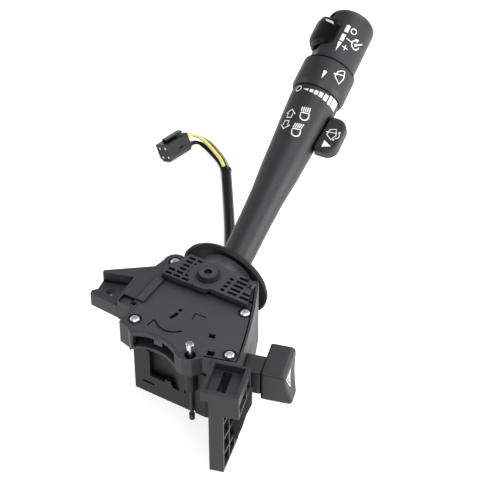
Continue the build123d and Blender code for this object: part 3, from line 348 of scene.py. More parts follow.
def mesh_piece(name, bm, material, body, replaces=()):
    """Turn a bmesh into a piece that rides on a body, with its faces turned outward."""
    bmesh.ops.recalc_face_normals(bm, faces=bm.faces)
    mesh = bpy.data.meshes.new(name)
    bm.to_mesh(mesh)
    bm.free()
    mesh.materials.append(material)
    piece = bpy.data.objects.new(name, mesh)
    bpy.context.scene.collection.objects.link(piece)
    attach(piece, body)
    if replaces:
        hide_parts(*replaces)
    return piece


def skin_loops(bm, loops, joined):
    """Faces from each loop of corners to the next, round to the first if joined, else with closed ends."""
    sides = len(loops[0])
    for near, far in zip(loops, loops[1:] + loops[:1] if joined else loops[1:]):
        for i in range(sides):
            bm.faces.new((near[i], near[(i + 1) % sides], far[(i + 1) % sides], far[i]))
    if not joined:
        bm.faces.new(loops[0])
        bm.faces.new(list(reversed(loops[-1])))


def skin_turned(bm, matrix, line, sides, joined=True):
    """Skin of an outline of radii and stations, turned about the Y axis of a frame."""
    turns = [2 * pi * i / sides for i in range(sides)]
    skin_loops(bm, [
        [
            bm.verts.new(place(matrix @ Vector((radius * cos(turn), along, radius * sin(turn)))))
            for turn in turns
        ]
        for radius, along in line
    ], joined)


def rect(across, along, wide, long):
    """A rectangle on the print plane."""
    return [
        (across - wide / 2, along - long / 2), (across + wide / 2, along - long / 2),
        (across + wide / 2, along + long / 2), (across - wide / 2, along + long / 2),
    ]


def stroke(points, wide, closed=False):
    """Quads of an even line along points on the print plane."""
    points = [Vector(p) for p in points]
    count = len(points)
    sides = []
    for index, point in enumerate(points):
        before = points[index - 1] if index or closed else point
        after = points[(index + 1) % count] if index < count - 1 or closed else point
        run = (after - before).normalized()
        normal = Vector((-run.y, run.x)) * wide / 2
        sides.append((point + normal, point - normal))
    last = count if closed else count - 1
    quads = []
    for index in range(last):
        left, right = sides[index]
        far_left, far_right = sides[(index + 1) % count]
        quads.append([tuple(right), tuple(far_right), tuple(far_left), tuple(left)])
    return quads


def bow(centre, radius, start, end, steps=18):
    """Points of an arc on the print plane, angles in degrees."""
    angles = [radians(start + (end - start) * i / steps) for i in range(steps + 1)]
    return [(centre[0] + radius * cos(a), centre[1] + radius * sin(a)) for a in angles]


def ring(centre, radius, wide):
    """Quads of a printed ring."""
    return stroke(bow(centre, radius, 0, 360)[:-1], wide, closed=True)


def print_on(name, polygons, wrap, material, body, lift=PRINT_LIFT, cell=0.9):
    """A thin print: polygons on a plane, cut into strips a cell wide and wrapped onto a surface."""
    bm = bmesh.new()
    for polygon in polygons:
        bm.faces.new([bm.verts.new((x, y, 0)) for x, y in polygon])
    low = min(v.co.x for v in bm.verts)
    high = max(v.co.x for v in bm.verts)
    cut = low + cell
    while cut < high:
        parts = bm.verts[:] + bm.edges[:] + bm.faces[:]
        bmesh.ops.bisect_plane(bm, geom=parts, plane_co=(cut, 0, 0), plane_no=(1, 0, 0))
        cut += cell
    bmesh.ops.recalc_face_normals(bm, faces=bm.faces)
    tops = bm.faces[:]
    made = bmesh.ops.extrude_face_region(bm, geom=tops)
    raised = {v for v in made["geom"] if isinstance(v, bmesh.types.BMVert)}
    for vert in bm.verts:
        vert.co = wrap(vert.co.x, vert.co.y, lift if vert in raised else -PRINT_SINK)
    return mesh_piece(name, bm, material, body)


def on_paddle(across, along, lift):
    """Wrap for the paddle's flat top."""
    return lever_place(across, along, PADDLE_TOP + lift)


def scoop_ends(turn):
    """First and last station of the slider's scoop at an angle, where its rim curves round to the front."""
    # The near end curves in by 3 mm over its last 19 degrees, and the far end slants in steadily.
    round_low = max(0.0, (turn + 22.0) / 19.0) ** 2 * 3.0
    return -SLIDER_HALF + round_low, min(SLIDER_HALF, 12.8 - max(0.0, turn + 66.0) * 0.15)


def scoop_radius(turn, along):
    """Outer radius of the slider's thumb scoop at an angle in degrees and a station from its middle."""
    low, high = scoop_ends(turn)
    end = min(1.0, along / high if along > 0 else along / low)
    # The wall climbs from the front to the rim in a hollow sweep, and falls off roundly behind it.
    if turn > SLIDER_RIM_AT:
        wall = ((SLIDER_FRONT_AT - turn) / (SLIDER_FRONT_AT - SLIDER_RIM_AT)) ** 2.3
    else:
        wall = max(0.0, 1 - ((SLIDER_RIM_AT - turn) / (SLIDER_RIM_AT - SLIDER_BACK_AT)) ** 2) ** 0.6
    # The lips at both ends fade out towards the front and the back.
    reach = min(1.0, max(0.0, (SLIDER_FRONT_AT - turn) / 24.0))
    inner = min(1.0, max(0.0, (turn - SLIDER_BACK_AT) / 20.0))
    lip = SCOOP_FAR_LIP * exp(-((along - high + 1.9) / 1.4) ** 2)
    lip += SCOOP_NEAR_LIP * exp(-((along - low - 1.6) / 1.2) ** 2)
    skirt = SCOOP_SKIRT * min(
        1.0, (high - along) / 0.8, (along - low) / 0.8,
        (SLIDER_FRONT_AT - turn) / 2.5, (turn - SLIDER_BACK_AT) / 2.5,
    )
    arch = SCOOP_ARCH * (1 - end ** (7 if along > 0 else 4))
    return SLIDER_SEAT_R + SCOOP_FLOOR + skirt + arch * wall + lip * reach * inner * (1 - wall)


def on_scoop(across, along, lift):
    """Wrap for the slider's scoop: across is the angle in degrees, along the station from its middle."""
    radius = scoop_radius(across, along) + lift
    return lever_place(radius * sin(radians(across)), SLIDER_AT + along, radius * cos(radians(across)))


def on_knob(across, along, lift):
    """Wrap for the hazard knob's hollow outer face: across is the side's Y, along its Z."""
    centre_x, centre_z = KNOB_HOLLOW
    reach = KNOB_HOLLOW_R - lift
    return side_place(centre_x - sqrt(reach ** 2 - (along - centre_z) ** 2), across, along)


def on_turned(line, angle):
    """Wrap for a turned part of the stalk, centred at an angle from the lever's top in degrees."""
    def wrap(across, along, lift):
        radius = radius_at(line, along)
        turn = radians(angle) + across / radius
        return lever_place((radius + lift) * sin(turn), along, (radius + lift) * cos(turn))
    return wrap


class PlasticSettings(bpy.types.PropertyGroup):
    """Colours of the moulded pieces."""

    case_colour: StringProperty(name="Case", description="Colour of the case", default="#2c2d2f")
    lever_colour: StringProperty(name="Lever", description="Colour of the stalk", default="#1d1e20")
    print_colour: StringProperty(name="Prints", description="Colour of the prints", default="#f4f4f2")
    grain: FloatProperty(name="Grain", description="Drawn width in mm", default=0.35, unit="CAMERA")
    softening: FloatProperty(name="Edge rounds", description="Width in mm", default=0.3, unit="CAMERA")


class PigtailSettings(bpy.types.PropertyGroup):
    """Sizes and colours of the sleeve and its wires."""

    sleeve_width: FloatProperty(name="Sleeve", description="Diameter in mm", default=7.4, unit="CAMERA")
    wire_width: FloatProperty(name="Wire", description="Diameter in mm", default=2.6, unit="CAMERA")
    yellow: StringProperty(name="Yellow", description="Colour of the yellow wire", default="#e9e27a")
    tan: StringProperty(name="Tan", description="Colour of the tan wire", default="#a49b83")
    white: StringProperty(name="White", description="Colour of the white wire", default="#e4e4e0")
    black: StringProperty(name="Black", description="Colour of the black wire", default="#0b0b0c")


class StageSettings(bpy.types.PropertyGroup):
    """Power of each softbox, and strength of the white all round."""

    key_power: FloatProperty(name="Key light", description="From behind", default=2.6, unit="POWER")
    fill_power: FloatProperty(name="Fill light", description="From the front", default=1.45, unit="POWER")
    side_power: FloatProperty(name="Side light", description="From the right", default=4.4, unit="POWER")
    top_power: FloatProperty(name="Top light", description="From above", default=1.5, unit="POWER")
    world_level: FloatProperty(name="World", description="Strength of the white", default=0.4)


def chosen(name):
    """One of the scene's groups of settings."""
    return getattr(bpy.context.scene, name)


class STALK_OT_stage(bpy.types.Operator):
    """Camera of the photograph, pale floor, white surroundings and softboxes"""

    bl_idname = "stalk.stage"
    bl_label = "Stage"

    def execute(self, context):
        scene = context.scene
        scene.view_settings.view_transform = "Standard"
        self.add_camera(scene)
        self.add_floor(scene)
        self.add_world(scene)
        stage = chosen("stalk_stage")
        powers = (
            stage.key_power, stage.side_power, stage.fill_power, stage.top_power,
            LEFT_SHARE * stage.fill_power,
        )
        for (name, stand, aim, size), power in zip(SOFTBOXES, powers):
            self.add_softbox(scene, name, stand, aim, size, power)
        return {"FINISHED"}

    def add_camera(self, scene):
        """Camera that sees the part as the photograph does."""
        azimuth, elevation = VIEW_AZIMUTH, VIEW_ELEVATION
        right = Vector((cos(azimuth), sin(azimuth), 0))
        ahead = Vector((-sin(azimuth) * cos(elevation), cos(azimuth) * cos(elevation), -sin(elevation)))
        up = right.cross(ahead)
        camera = bpy.data.objects.new("camera", bpy.data.cameras.new("camera"))
        camera.data.lens = FOCAL_MM
        camera.data.sensor_width = SENSOR_MM
        camera.data.clip_end = 20.0
        turn = Matrix((right, up, -ahead)).transposed().to_4x4()
        camera.matrix_world = Matrix.Translation(place(CAMERA_PLACE)) @ turn
        scene.collection.objects.link(camera)
        scene.camera = camera

    def add_floor(self, scene):
        """White paper under the part, which keeps the part's shadow."""
        material, tree = new_material("white_paper")
        path = add_node(tree, "ShaderNodeLightPath")
        # Matt paper, brought to white where it is seen directly or in a reflection.
        paper = add_node(tree, "ShaderNodeBsdfDiffuse", inputs={"Color": linear("#dcdcdc")})
        glow = add_node(tree, "ShaderNodeEmission", inputs={"Color": (1, 1, 1, 1), "Strength": FLOOR_GLOW})
        lit = add_node(tree, "ShaderNodeAddShader", inputs={
            0: paper.outputs["BSDF"], 1: glow.outputs["Emission"],
        })
        seen = combined(tree, "MAXIMUM", path.outputs["Is Camera Ray"], path.outputs["Is Glossy Ray"])
        mixed = add_node(tree, "ShaderNodeMixShader", inputs={
            0: combined(tree, "MAXIMUM", seen, path.outputs["Is Transmission Ray"]),
            1: paper.outputs["BSDF"], 2: lit.outputs["Shader"],
        })
        # The underside is clear, so that the object can be seen from below.
        under = add_node(tree, "ShaderNodeNewGeometry")
        clear = add_node(tree, "ShaderNodeBsdfTransparent")
        sheet = add_node(tree, "ShaderNodeMixShader", inputs={
            0: under.outputs["Backfacing"], 1: mixed.outputs["Shader"], 2: clear.outputs["BSDF"],
        })
        add_node(tree, "ShaderNodeOutputMaterial", inputs={"Surface": sheet.outputs["Shader"]})
        bm = bmesh.new()
        bmesh.ops.create_grid(bm, x_segments=1, y_segments=1, size=FLOOR_HALF_M)
        mesh = bpy.data.meshes.new("floor")
        bm.to_mesh(mesh)
        bm.free()
        mesh.materials.append(material)
        floor = bpy.data.objects.new("floor", mesh)
        floor.location = place((0, 0, FLOOR_Z - FLOOR_GAP))
        scene.collection.objects.link(floor)

    def add_world(self, scene):
        """Even white all round: dim as a light, full white where it is seen directly."""
        world = bpy.data.worlds.new("surroundings")
        world.use_nodes = True
        tree = world.node_tree
        tree.nodes.clear()
        path = add_node(tree, "ShaderNodeLightPath")
        seen = combined(
            tree, "MAXIMUM", path.outputs["Is Camera Ray"], path.outputs["Is Transmission Ray"]
        )
        level = ranged(tree, seen, chosen("stalk_stage").world_level, 1.0, start=0.0, end=1.0)
        back = add_node(tree, "ShaderNodeBackground", inputs={"Color": (1, 1, 1, 1), "Strength": level})
        add_node(tree, "ShaderNodeOutputWorld", inputs={"Surface": back.outputs["Background"]})
        scene.world = world

    def add_softbox(self, scene, name, stand, aim, size, power):
        """A square soft light that stands at one point and looks at another."""
        lamp = bpy.data.lights.new(name, "AREA")
        lamp.shape = "SQUARE"
        lamp.size = size * MM
        lamp.energy = power
        softbox = bpy.data.objects.new(name, lamp)
        start = place(stand)
        softbox.location = start
        softbox.rotation_euler = (place(aim) - start).to_track_quat("-Z", "Y").to_euler()
        scene.collection.objects.link(softbox)


# Pigtail route: the points of the part's source, with the sleeve's end and the wires moved.
SLEEVE_ROUTE = (
    (-19.0, 8.6, -59.5), (-19.0, 30.0, -59.5), (-24.0, 56.0, -63.6), (-35.0, 79.0, -65.2),
    (-47.0, 101.0, -65.2), (-67.9, 132.8, -65.2), (-87.0, 160.9, -65.2),
)
WIRE_ROUTE = ((-93.2, 167.6, -65.0), (-102.6, 172.8, -64.2), (-112.6, 177.2, -62.8))
# How far a wire runs straight out of the plug.
WIRE_LEAD = 7.4
# How far the wires have spread from the tight bundle to the plug's pitch, point by point.
WIRE_SPREAD = (0.0, 0.0, 0.05, 0.2, 0.85, 1.0)
# Turn of the bundle where it enters the sleeve: the black wire comes to the left, the tan one to the right.
BUNDLE_TURN = radians(18.0)

# Plug: middle of its face, its heading and roll, its length, and the pitch of its four holes.
PLUG_FACE = (-132.3, 151.1, -61.2)
PLUG_HEADING = radians(-13.9)
PLUG_ROLL = radians(-28.0)
PLUG_LONG = 20.0
PLUG_PITCH_X = 6.4
PLUG_PITCH_Z = 7.0
# How far past the sleeve's end the wires start, and half the gap between them in the bundle.
SLEEVE_GAP = 0.3
WIRE_GAP = 0.2
PLUG_FRAME = (
    Matrix.Translation(Vector(PLUG_FACE)) @ Matrix.Rotation(PLUG_HEADING, 4, "Z")
    @ Matrix.Rotation(PLUG_ROLL, 4, "Y")
)

# Cut end of the sleeve: how far outside its radius each corner lies, and how far ahead of its end.
MOUTH_LINE = ((0.04, -1.6), (0.32, 0.0), (0.4, 0.8), (-0.45, 0.8), (-0.5, 0.05))
MOUTH_SIDES = 30
# One contact in the plug: radius and depth behind the plug's face.
TIP_LINE = ((1.05, 7.8), (1.05, 0.6), (0.85, 0.25), (0.3, 0.3), (0.25, 1.2))
TIP_SIDES = 16
TIP_CORNER_ANGLE = 50.0


def wire_points(across, up, wire_r):
    """Route of one wire: the bundle's middle line, with the wire's own place beside and above it."""
    back = PLUG_FRAME @ Vector((0, PLUG_LONG, 0))
    lead = PLUG_FRAME @ Vector((0, PLUG_LONG + WIRE_LEAD, 0))
    sleeve_end = Vector(SLEEVE_ROUTE[-1])
    sleeve_run = (sleeve_end - Vector(SLEEVE_ROUTE[-2])).normalized()
    centres = [sleeve_end + sleeve_run * SLEEVE_GAP] + [Vector(p) for p in WIRE_ROUTE] + [lead, back]
    # The bundle runs on straight out of the sleeve, and comes straight into the plug.
    before = [Vector(SLEEVE_ROUTE[-2])] + centres[:-1]
    after = centres[1:] + [centres[-1] * 2 - centres[-2]]
    after[0] = centres[0] * 2 - before[0]
    before[-2] = centres[-2] * 2 - centres[-1]
    points = []
    for share, centre, behind, ahead in zip(WIRE_SPREAD, centres, before, after):
        left = Vector((0, 0, 1)).cross(ahead - behind).normalized()
        roll = -PLUG_ROLL * share + BUNDLE_TURN * (1 - share)
        out = across * (wire_r + WIRE_GAP + share * (PLUG_PITCH_X / 2 - wire_r - WIRE_GAP))
        lift = up * (wire_r + WIRE_GAP + share * (PLUG_PITCH_Z / 2 - wire_r - WIRE_GAP))
        side = out * cos(roll) - lift * sin(roll)
        height = out * sin(roll) + lift * cos(roll)
        points.append(centre + left * side + Vector((0, 0, height)))
    return points


def smooth_line(name, points):
    """A smooth curve that starts and ends at its first and last control point."""
    curve = bpy.data.curves.new(name, "CURVE")
    curve.dimensions = "3D"
    curve.resolution_u = 24
    spline = curve.splines.new("NURBS")
    spline.points.add(len(points) - 1)
    for control, point in zip(spline.points, points):
        control.co = (*place(point), 1.0)
    spline.order_u = 3
    spline.use_endpoint_u = True
    return curve


def cord_piece(name, points, diameter, material, body, slot, node):
    """A round cord along its route's control points, in place of the source's tube."""
    curve = smooth_line(name, points)
    curve.bevel_depth = diameter * MM / 2
    curve.bevel_resolution = 8
    curve.use_fill_caps = True
    curve.materials.append(material)
    piece = bpy.data.objects.new(name, curve)
    bpy.context.scene.collection.objects.link(piece)
    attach(piece, body)
    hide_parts(node)
    return piece


def route_length(points):
    """Length of the smooth line that control points give, in metres."""
    curve = smooth_line("measure", points)
    holder = bpy.data.objects.new("measure", curve)
    mesh = bpy.data.meshes.new_from_object(holder)
    verts = [v.co.copy() for v in mesh.vertices]
    bpy.data.objects.remove(holder)
    bpy.data.curves.remove(curve)
    return sum((b - a).length for a, b in zip(verts, verts[1:]))


class STALK_OT_pigtail(bpy.types.Operator):
    """Vinyl sleeve, four insulated wires and the dressed plug"""

    bl_idname = "stalk.pigtail"
    bl_label = "Pigtail"

    def execute(self, context):
        pigtail = chosen("stalk_pigtail")
        plastics = chosen("stalk_plastics")
        # Soft extruded vinyl: near black, with a satin sheen that is faintly uneven.
        vinyl = moulded_plastic(
            "vinyl_sleeve_extruded", "#08090a", roughness=0.24, grain=0.9, depth=0.01, shine=0.28
        )
        # Moulded nylon plug: black, with a low waxy gloss along its edges.
        plug_black = moulded_plastic(
            "nylon_plug_moulded", "#0c0d0e", roughness=0.34, grain=plastics.grain, shine=0.22
        )
        # Tinned brass: pale and soft, the small bright dots in the plug's holes.
        tin = plated_metal("tinned_brass_stamped", "#efefea", roughness=0.45, scratch=0.3)
        sleeve = cord_piece(
            "pigtail_sleeve", SLEEVE_ROUTE, pigtail.sleeve_width, vinyl, "case", "soft_black",
            "harness_sleeve",
        )
        # Colour of each wire, and its place across and up in the bundle and the plug.
        colours = {
            "wire_tan": (pigtail.tan, -1, 1), "wire_yellow": (pigtail.yellow, 1, 1),
            "wire_white": (pigtail.white, -1, -1), "wire_black": (pigtail.black, 1, -1),
        }
        mouth = self.add_sleeve_mouth(vinyl, pigtail.sleeve_width / 2)
        plug = dress("plug_housing", plug_black, plastics.softening)
        sockets = dress("plug_terminals", tin, soften=0)
        dress("cable_grommet", vinyl, plastics.softening)
        tips = self.add_contact_tips(tin)
        wires = []
        for node, (colour, across, up) in colours.items():
            # Extruded insulation: smooth and slightly shiny.
            coat = moulded_plastic(
                f"{node}_insulation", colour, roughness=0.38, grain=1.2, depth=0.01, mottle=0.03,
                shine=0.3,
            )
            points = wire_points(across, up, pigtail.wire_width / 2)
            piece = cord_piece(f"{node}_lead", points, pigtail.wire_width, coat, "case", node, node)
            wires.append((piece, points))
        for piece, points in wires:
            tuple(place(points[0]))
            route_length(points)
        tuple(place(SLEEVE_ROUTE[0]))
        route_length(SLEEVE_ROUTE)
        return {"FINISHED"}

    def add_sleeve_mouth(self, vinyl, radius):
        """Cut end of the sleeve: a slightly flared wall with a hollow behind it."""
        end = Vector(SLEEVE_ROUTE[-1])
        run = (end - Vector(SLEEVE_ROUTE[-2])).normalized()
        side = run.cross(Vector((0, 0, 1))).normalized()
        rise = side.cross(run)
        mouth_frame = Matrix.Translation(end) @ Matrix((side, run, rise)).transposed().to_4x4()
        bm = bmesh.new()
        skin_turned(bm, mouth_frame, [(radius + out, ahead) for out, ahead in MOUTH_LINE], MOUTH_SIDES)
        piece = mesh_piece("sleeve_mouth", bm, vinyl, "case")
        shade_smooth(piece, CORNER_ANGLE)
        return piece

    def add_contact_tips(self, tin):
        """Rolled tin mouths of the crimp sockets, just inside the plug's holes."""
        bm = bmesh.new()
        for x in (-PLUG_PITCH_X / 2, PLUG_PITCH_X / 2):
            for z in (-PLUG_PITCH_Z / 2, PLUG_PITCH_Z / 2):
                hole_frame = PLUG_FRAME @ Matrix.Translation((x, 0, z))
                skin_turned(bm, hole_frame, TIP_LINE, TIP_SIDES, joined=False)
        piece = mesh_piece("contact_tips", bm, tin, "case")
        shade_smooth(piece, TIP_CORNER_ANGLE)
        return piece


# Black strip of painted shadow in the cover's joint, in the right side's own frame: where it starts,
# how far it runs forward and in how many steps, its corners at the front, half its width, and its two
# heights.
SEAM_START = 3.6
SEAM_RUN = 65.2
SEAM_STEPS = 24
SEAM_FRONT = (Vector((31.6, -62.0)), Vector((14.6, -62.0)))
SEAM_HALF = 0.4
SEAM_LOW = -0.3
SEAM_HIGH = 0.06


def seam_point(y):
    """A point of the cover's bowed right-hand joint, at its place along the side."""
    # The joint bows from 34 mm out at the front to 28 mm at the back.
    share = (y + 30.0) / 35.2
    return Vector((33.0 - 3.31 * share - 1.99 * share * share, y))


class STALK_OT_housing(bpy.types.Operator):
    """Case, cover, lower case, base and guide bracket in moulded plastic"""

    bl_idname = "stalk.housing"
    bl_label = "Housing"

    def execute(self, context):
        plastics = chosen("stalk_plastics")
        # Glass-filled nylon: dark grey, dull, with a coarse spark-eroded grain.
        case = moulded_plastic(
            "glass_filled_nylon_moulded", plastics.case_colour, roughness=0.52, grain=plastics.grain,
            depth=0.05, hollow=0.12,
        )
        # Acetal cover: the same grey, smoother and a little glossier.
        cover = moulded_plastic(
            "acetal_cover_moulded", "#323335", roughness=0.45, grain=plastics.grain, depth=0.04,
            hollow=0.25,
        )
        dress("main_case", case, plastics.softening)
        # The bracket's open tray stays pale inside: the same nylon, without painted shade in its hollows.
        tray = moulded_plastic(
            "glass_filled_nylon_tray", "#262729", roughness=0.5, grain=plastics.grain, depth=0.05,
            shine=0.42, hollow=1.0,
        )
        dress("guide_bracket", tray, plastics.softening)
        # The lower mouldings: the same nylon, blacker and duller.
        lower = moulded_plastic(
            "glass_filled_nylon_lower", "#141517", roughness=0.5, grain=plastics.grain, depth=0.05,
            shine=0.3, hollow=0.8,
        )
        for node in ("lower_case", "base_cover"):
            dress(node, lower, plastics.softening)
        dress("cover_plate", cover, plastics.softening)
        self.add_seam_shadow()
        return {"FINISHED"}

    def add_seam_shadow(self):
        """Black strip in the joint of cover and rim: painted shadow for the dark line along the right side
        and the front.
        """
        # Painted shadow: black and without any shine.
        seam_shadow_black = moulded_plastic(
            "painted_seam_shadow_black", "#050505", roughness=0.85, grain=0.5, depth=0.05, shine=0.05
        )
        line = [seam_point(SEAM_START - SEAM_RUN * step / SEAM_STEPS) for step in range(SEAM_STEPS + 1)]
        line += SEAM_FRONT
        corners = ((-1, SEAM_LOW), (-1, SEAM_HIGH), (1, SEAM_HIGH), (1, SEAM_LOW))
        bm = bmesh.new()
        loops = []
        for before, point, after in zip(line[:1] + line, line, line[1:] + line[-1:]):
            run = (after - before).normalized()
            out = Vector((-run.y, run.x)) * SEAM_HALF
            loops.append([
                bm.verts.new(side_place(point.x + out.x * way, point.y + out.y * way, height))
                for way, height in corners
            ])
        skin_loops(bm, loops, joined=False)
        mesh_piece("cover_seam_painted_shadow", bm, seam_shadow_black, "case")


class STALK_OT_mechanism(bpy.types.Operator):
    """Fasteners, pins, springs, board and the pieces inside the case"""

    bl_idname = "stalk.mechanism"
    bl_label = "Mechanism"

    def execute(self, context):
        plastics = chosen("stalk_plastics")
        # Zinc plate: bright and silvery, with soft highlights that make the screw heads stand out.
        zinc = plated_metal("zinc_plated_steel", "#dcdee0", roughness=0.36, scratch=0.25)
        # Drawn spring steel: a darker, plain grey wire.
        spring = plated_metal("spring_steel_drawn", "#8d8f92", roughness=0.35, scratch=0.2)
        # Tinned terminals: pale and slightly yellow.
        tin = plated_metal("tinned_terminal_stamped", "#d8d5c8", roughness=0.3, scratch=0.3)
        # Acetal left in its own colour: milky grey with a waxy gloss.
        acetal = moulded_plastic(
            "natural_acetal_moulded", "#b9bab6", roughness=0.42, grain=plastics.grain, depth=0.02
        )
        # Green solder mask: a smooth, glossy lacquer.
        board = moulded_plastic("solder_mask_board", "#1f4a2c", roughness=0.35, grain=0.8, depth=0.01)
        # The long screw: bright plate above, matt black on its lower end.
        dark_ended_zinc = plated_metal(
            "zinc_plate_dark_below", "#c9cbce", roughness=0.28, scratch=0.25,
            dark_below=-27.0,
        )
        for node in ("cover_screws", "dimmer_pin"):
            dress(node, zinc, soften=0.12)
        dress("column_screw", dark_ended_zinc, soften=0.12)
        dress("detent_spring", spring, soften=0)
        dress("terminal_pins", tin, soften=0)
        for node in ("turn_detent", "contact_slider", "detent_plate"):
            dress(node, acetal, soften=0.2)
        # Black acetal of the moving pieces: smoother than the case, with a waxy gloss.
        slick = moulded_plastic("black_acetal_moulded", "#232426", roughness=0.34, grain=0.6, depth=0.015)
        dress("turn_carrier", slick, soften=0.2)
        # Grey acetal of the pawl: the paler tab in the dark slot.
        tab = moulded_plastic("grey_acetal_moulded", "#343537", roughness=0.36, grain=0.6, depth=0.015)
        dress("cancel_pawl", tab, soften=0.3)
        dress("circuit_board", board, soften=0)
        return {"FINISHED"}


class STALK_OT_lever(bpy.types.Operator):
    """Lever arm, dust shield, stalk tube, band, cap and its controls"""

    bl_idname = "stalk.lever"
    bl_label = "Lever"

    def execute(self, context):
        plastics = chosen("stalk_plastics")
        # Polyamide stalk: dark grey with a fine satin grain for the hand.
        grip = moulded_plastic(
            "polyamide_stalk_moulded", plastics.lever_colour, roughness=0.48, grain=plastics.grain
        )
        for node in ("lever_tube", "wiper_band", "end_cap", "set_button"):
            dress(node, grip, plastics.softening)
        dress("hazard_stem", grip, soften=0.6)
        dress_rounded("wash_paddle", grip, voxel=0.45, rounds=9)
        dress_rounded("hazard_knob", grip, voxel=0.5, rounds=14)
        # Inner pieces in plain black nylon.
        inner = moulded_plastic("black_nylon_moulded", "#191a1b", roughness=0.5, grain=plastics.grain)
        for node in ("lever_arm", "wiper_shaft"):
            dress(node, inner, plastics.softening)
        # Thermoplastic rubber shield: dead matt and blacker than the plastics round it.
        rubber = moulded_plastic(
            "rubber_shield_moulded", "#0d0e0f", roughness=0.62, grain=0.6, shine=0.22, hollow=1.0
        )
        dress("dust_shield", rubber, plastics.softening)
        self.add_scoop()
        self.add_shadow_ring()
        self.add_hub_painted_light()
        return {"FINISHED"}

    def add_hub_painted_light(self):
        """Paler facing of the hub in the shield's hollow behind the pivot: painted light where the hub is
        lit.
        """
        # Painted light: a matt grey, the palest plastic that shows, on a hub that sits in shade.
        nylon = moulded_plastic(
            "painted_light_hub_grey", "#66676b", roughness=0.5, grain=0.6, depth=0.02, hollow=1.0
        )
        bm = bmesh.new()
        skin_turned(bm, SHIELD_FRAME, HUB_LINE, TURNED_SIDES)
        hub_light_patch = mesh_piece("shield_hub_painted_light", bm, nylon, "lever")
        shade_smooth(hub_light_patch, CORNER_ANGLE)

    def add_shadow_ring(self):
        """Thin black ring on the band's far edge: painted shadow for the dark line between band and cap."""
        # Painted shadow: black that gives back next to no light.
        ring_shadow_black = moulded_plastic(
            "painted_shadow_ring_black", "#030303", roughness=0.8, grain=0.4, depth=0.05, shine=0.05
        )
        bm = bmesh.new()
        skin_turned(bm, LEVER_FRAME, RING_LINE, TURNED_SIDES)
        shadow_ring_piece = mesh_piece("band_painted_shadow_ring", bm, ring_shadow_black, "band")
        shade_smooth(shadow_ring_piece, CORNER_ANGLE)

    def add_scoop(self):
        """Dished thumb surface of the cruise slider, in place of the solid's plain one."""
        # Polished nylon slider: near black, with a wet gloss inside the thumb scoop.
        polished = moulded_plastic(
            "polished_nylon_moulded", "#050607", roughness=0.2, grain=0.8, depth=0.005, shine=0.14
        )
        bm = bmesh.new()
        loops = []
        for row in range(SCOOP_TURNS + 1):
            turn = SLIDER_BACK_AT + (SLIDER_FRONT_AT - SLIDER_BACK_AT) * row / SCOOP_TURNS
            low, high = scoop_ends(turn)
            stations = [low + (high - low) * step / SCOOP_STATIONS for step in range(SCOOP_STATIONS + 1)]
            top = [on_scoop(turn, along, 0.0) for along in stations]
            seat = [on_scoop(turn, along, SLIDER_SEAT_R - scoop_radius(turn, along)) for along in stations]
            loops.append([bm.verts.new(corner) for corner in top + seat[::-1]])
        skin_loops(bm, loops, joined=False)
        piece = mesh_piece("slider_thumb_scoop", bm, polished, "slider", ["cruise_slider"])
        shade_smooth(piece)


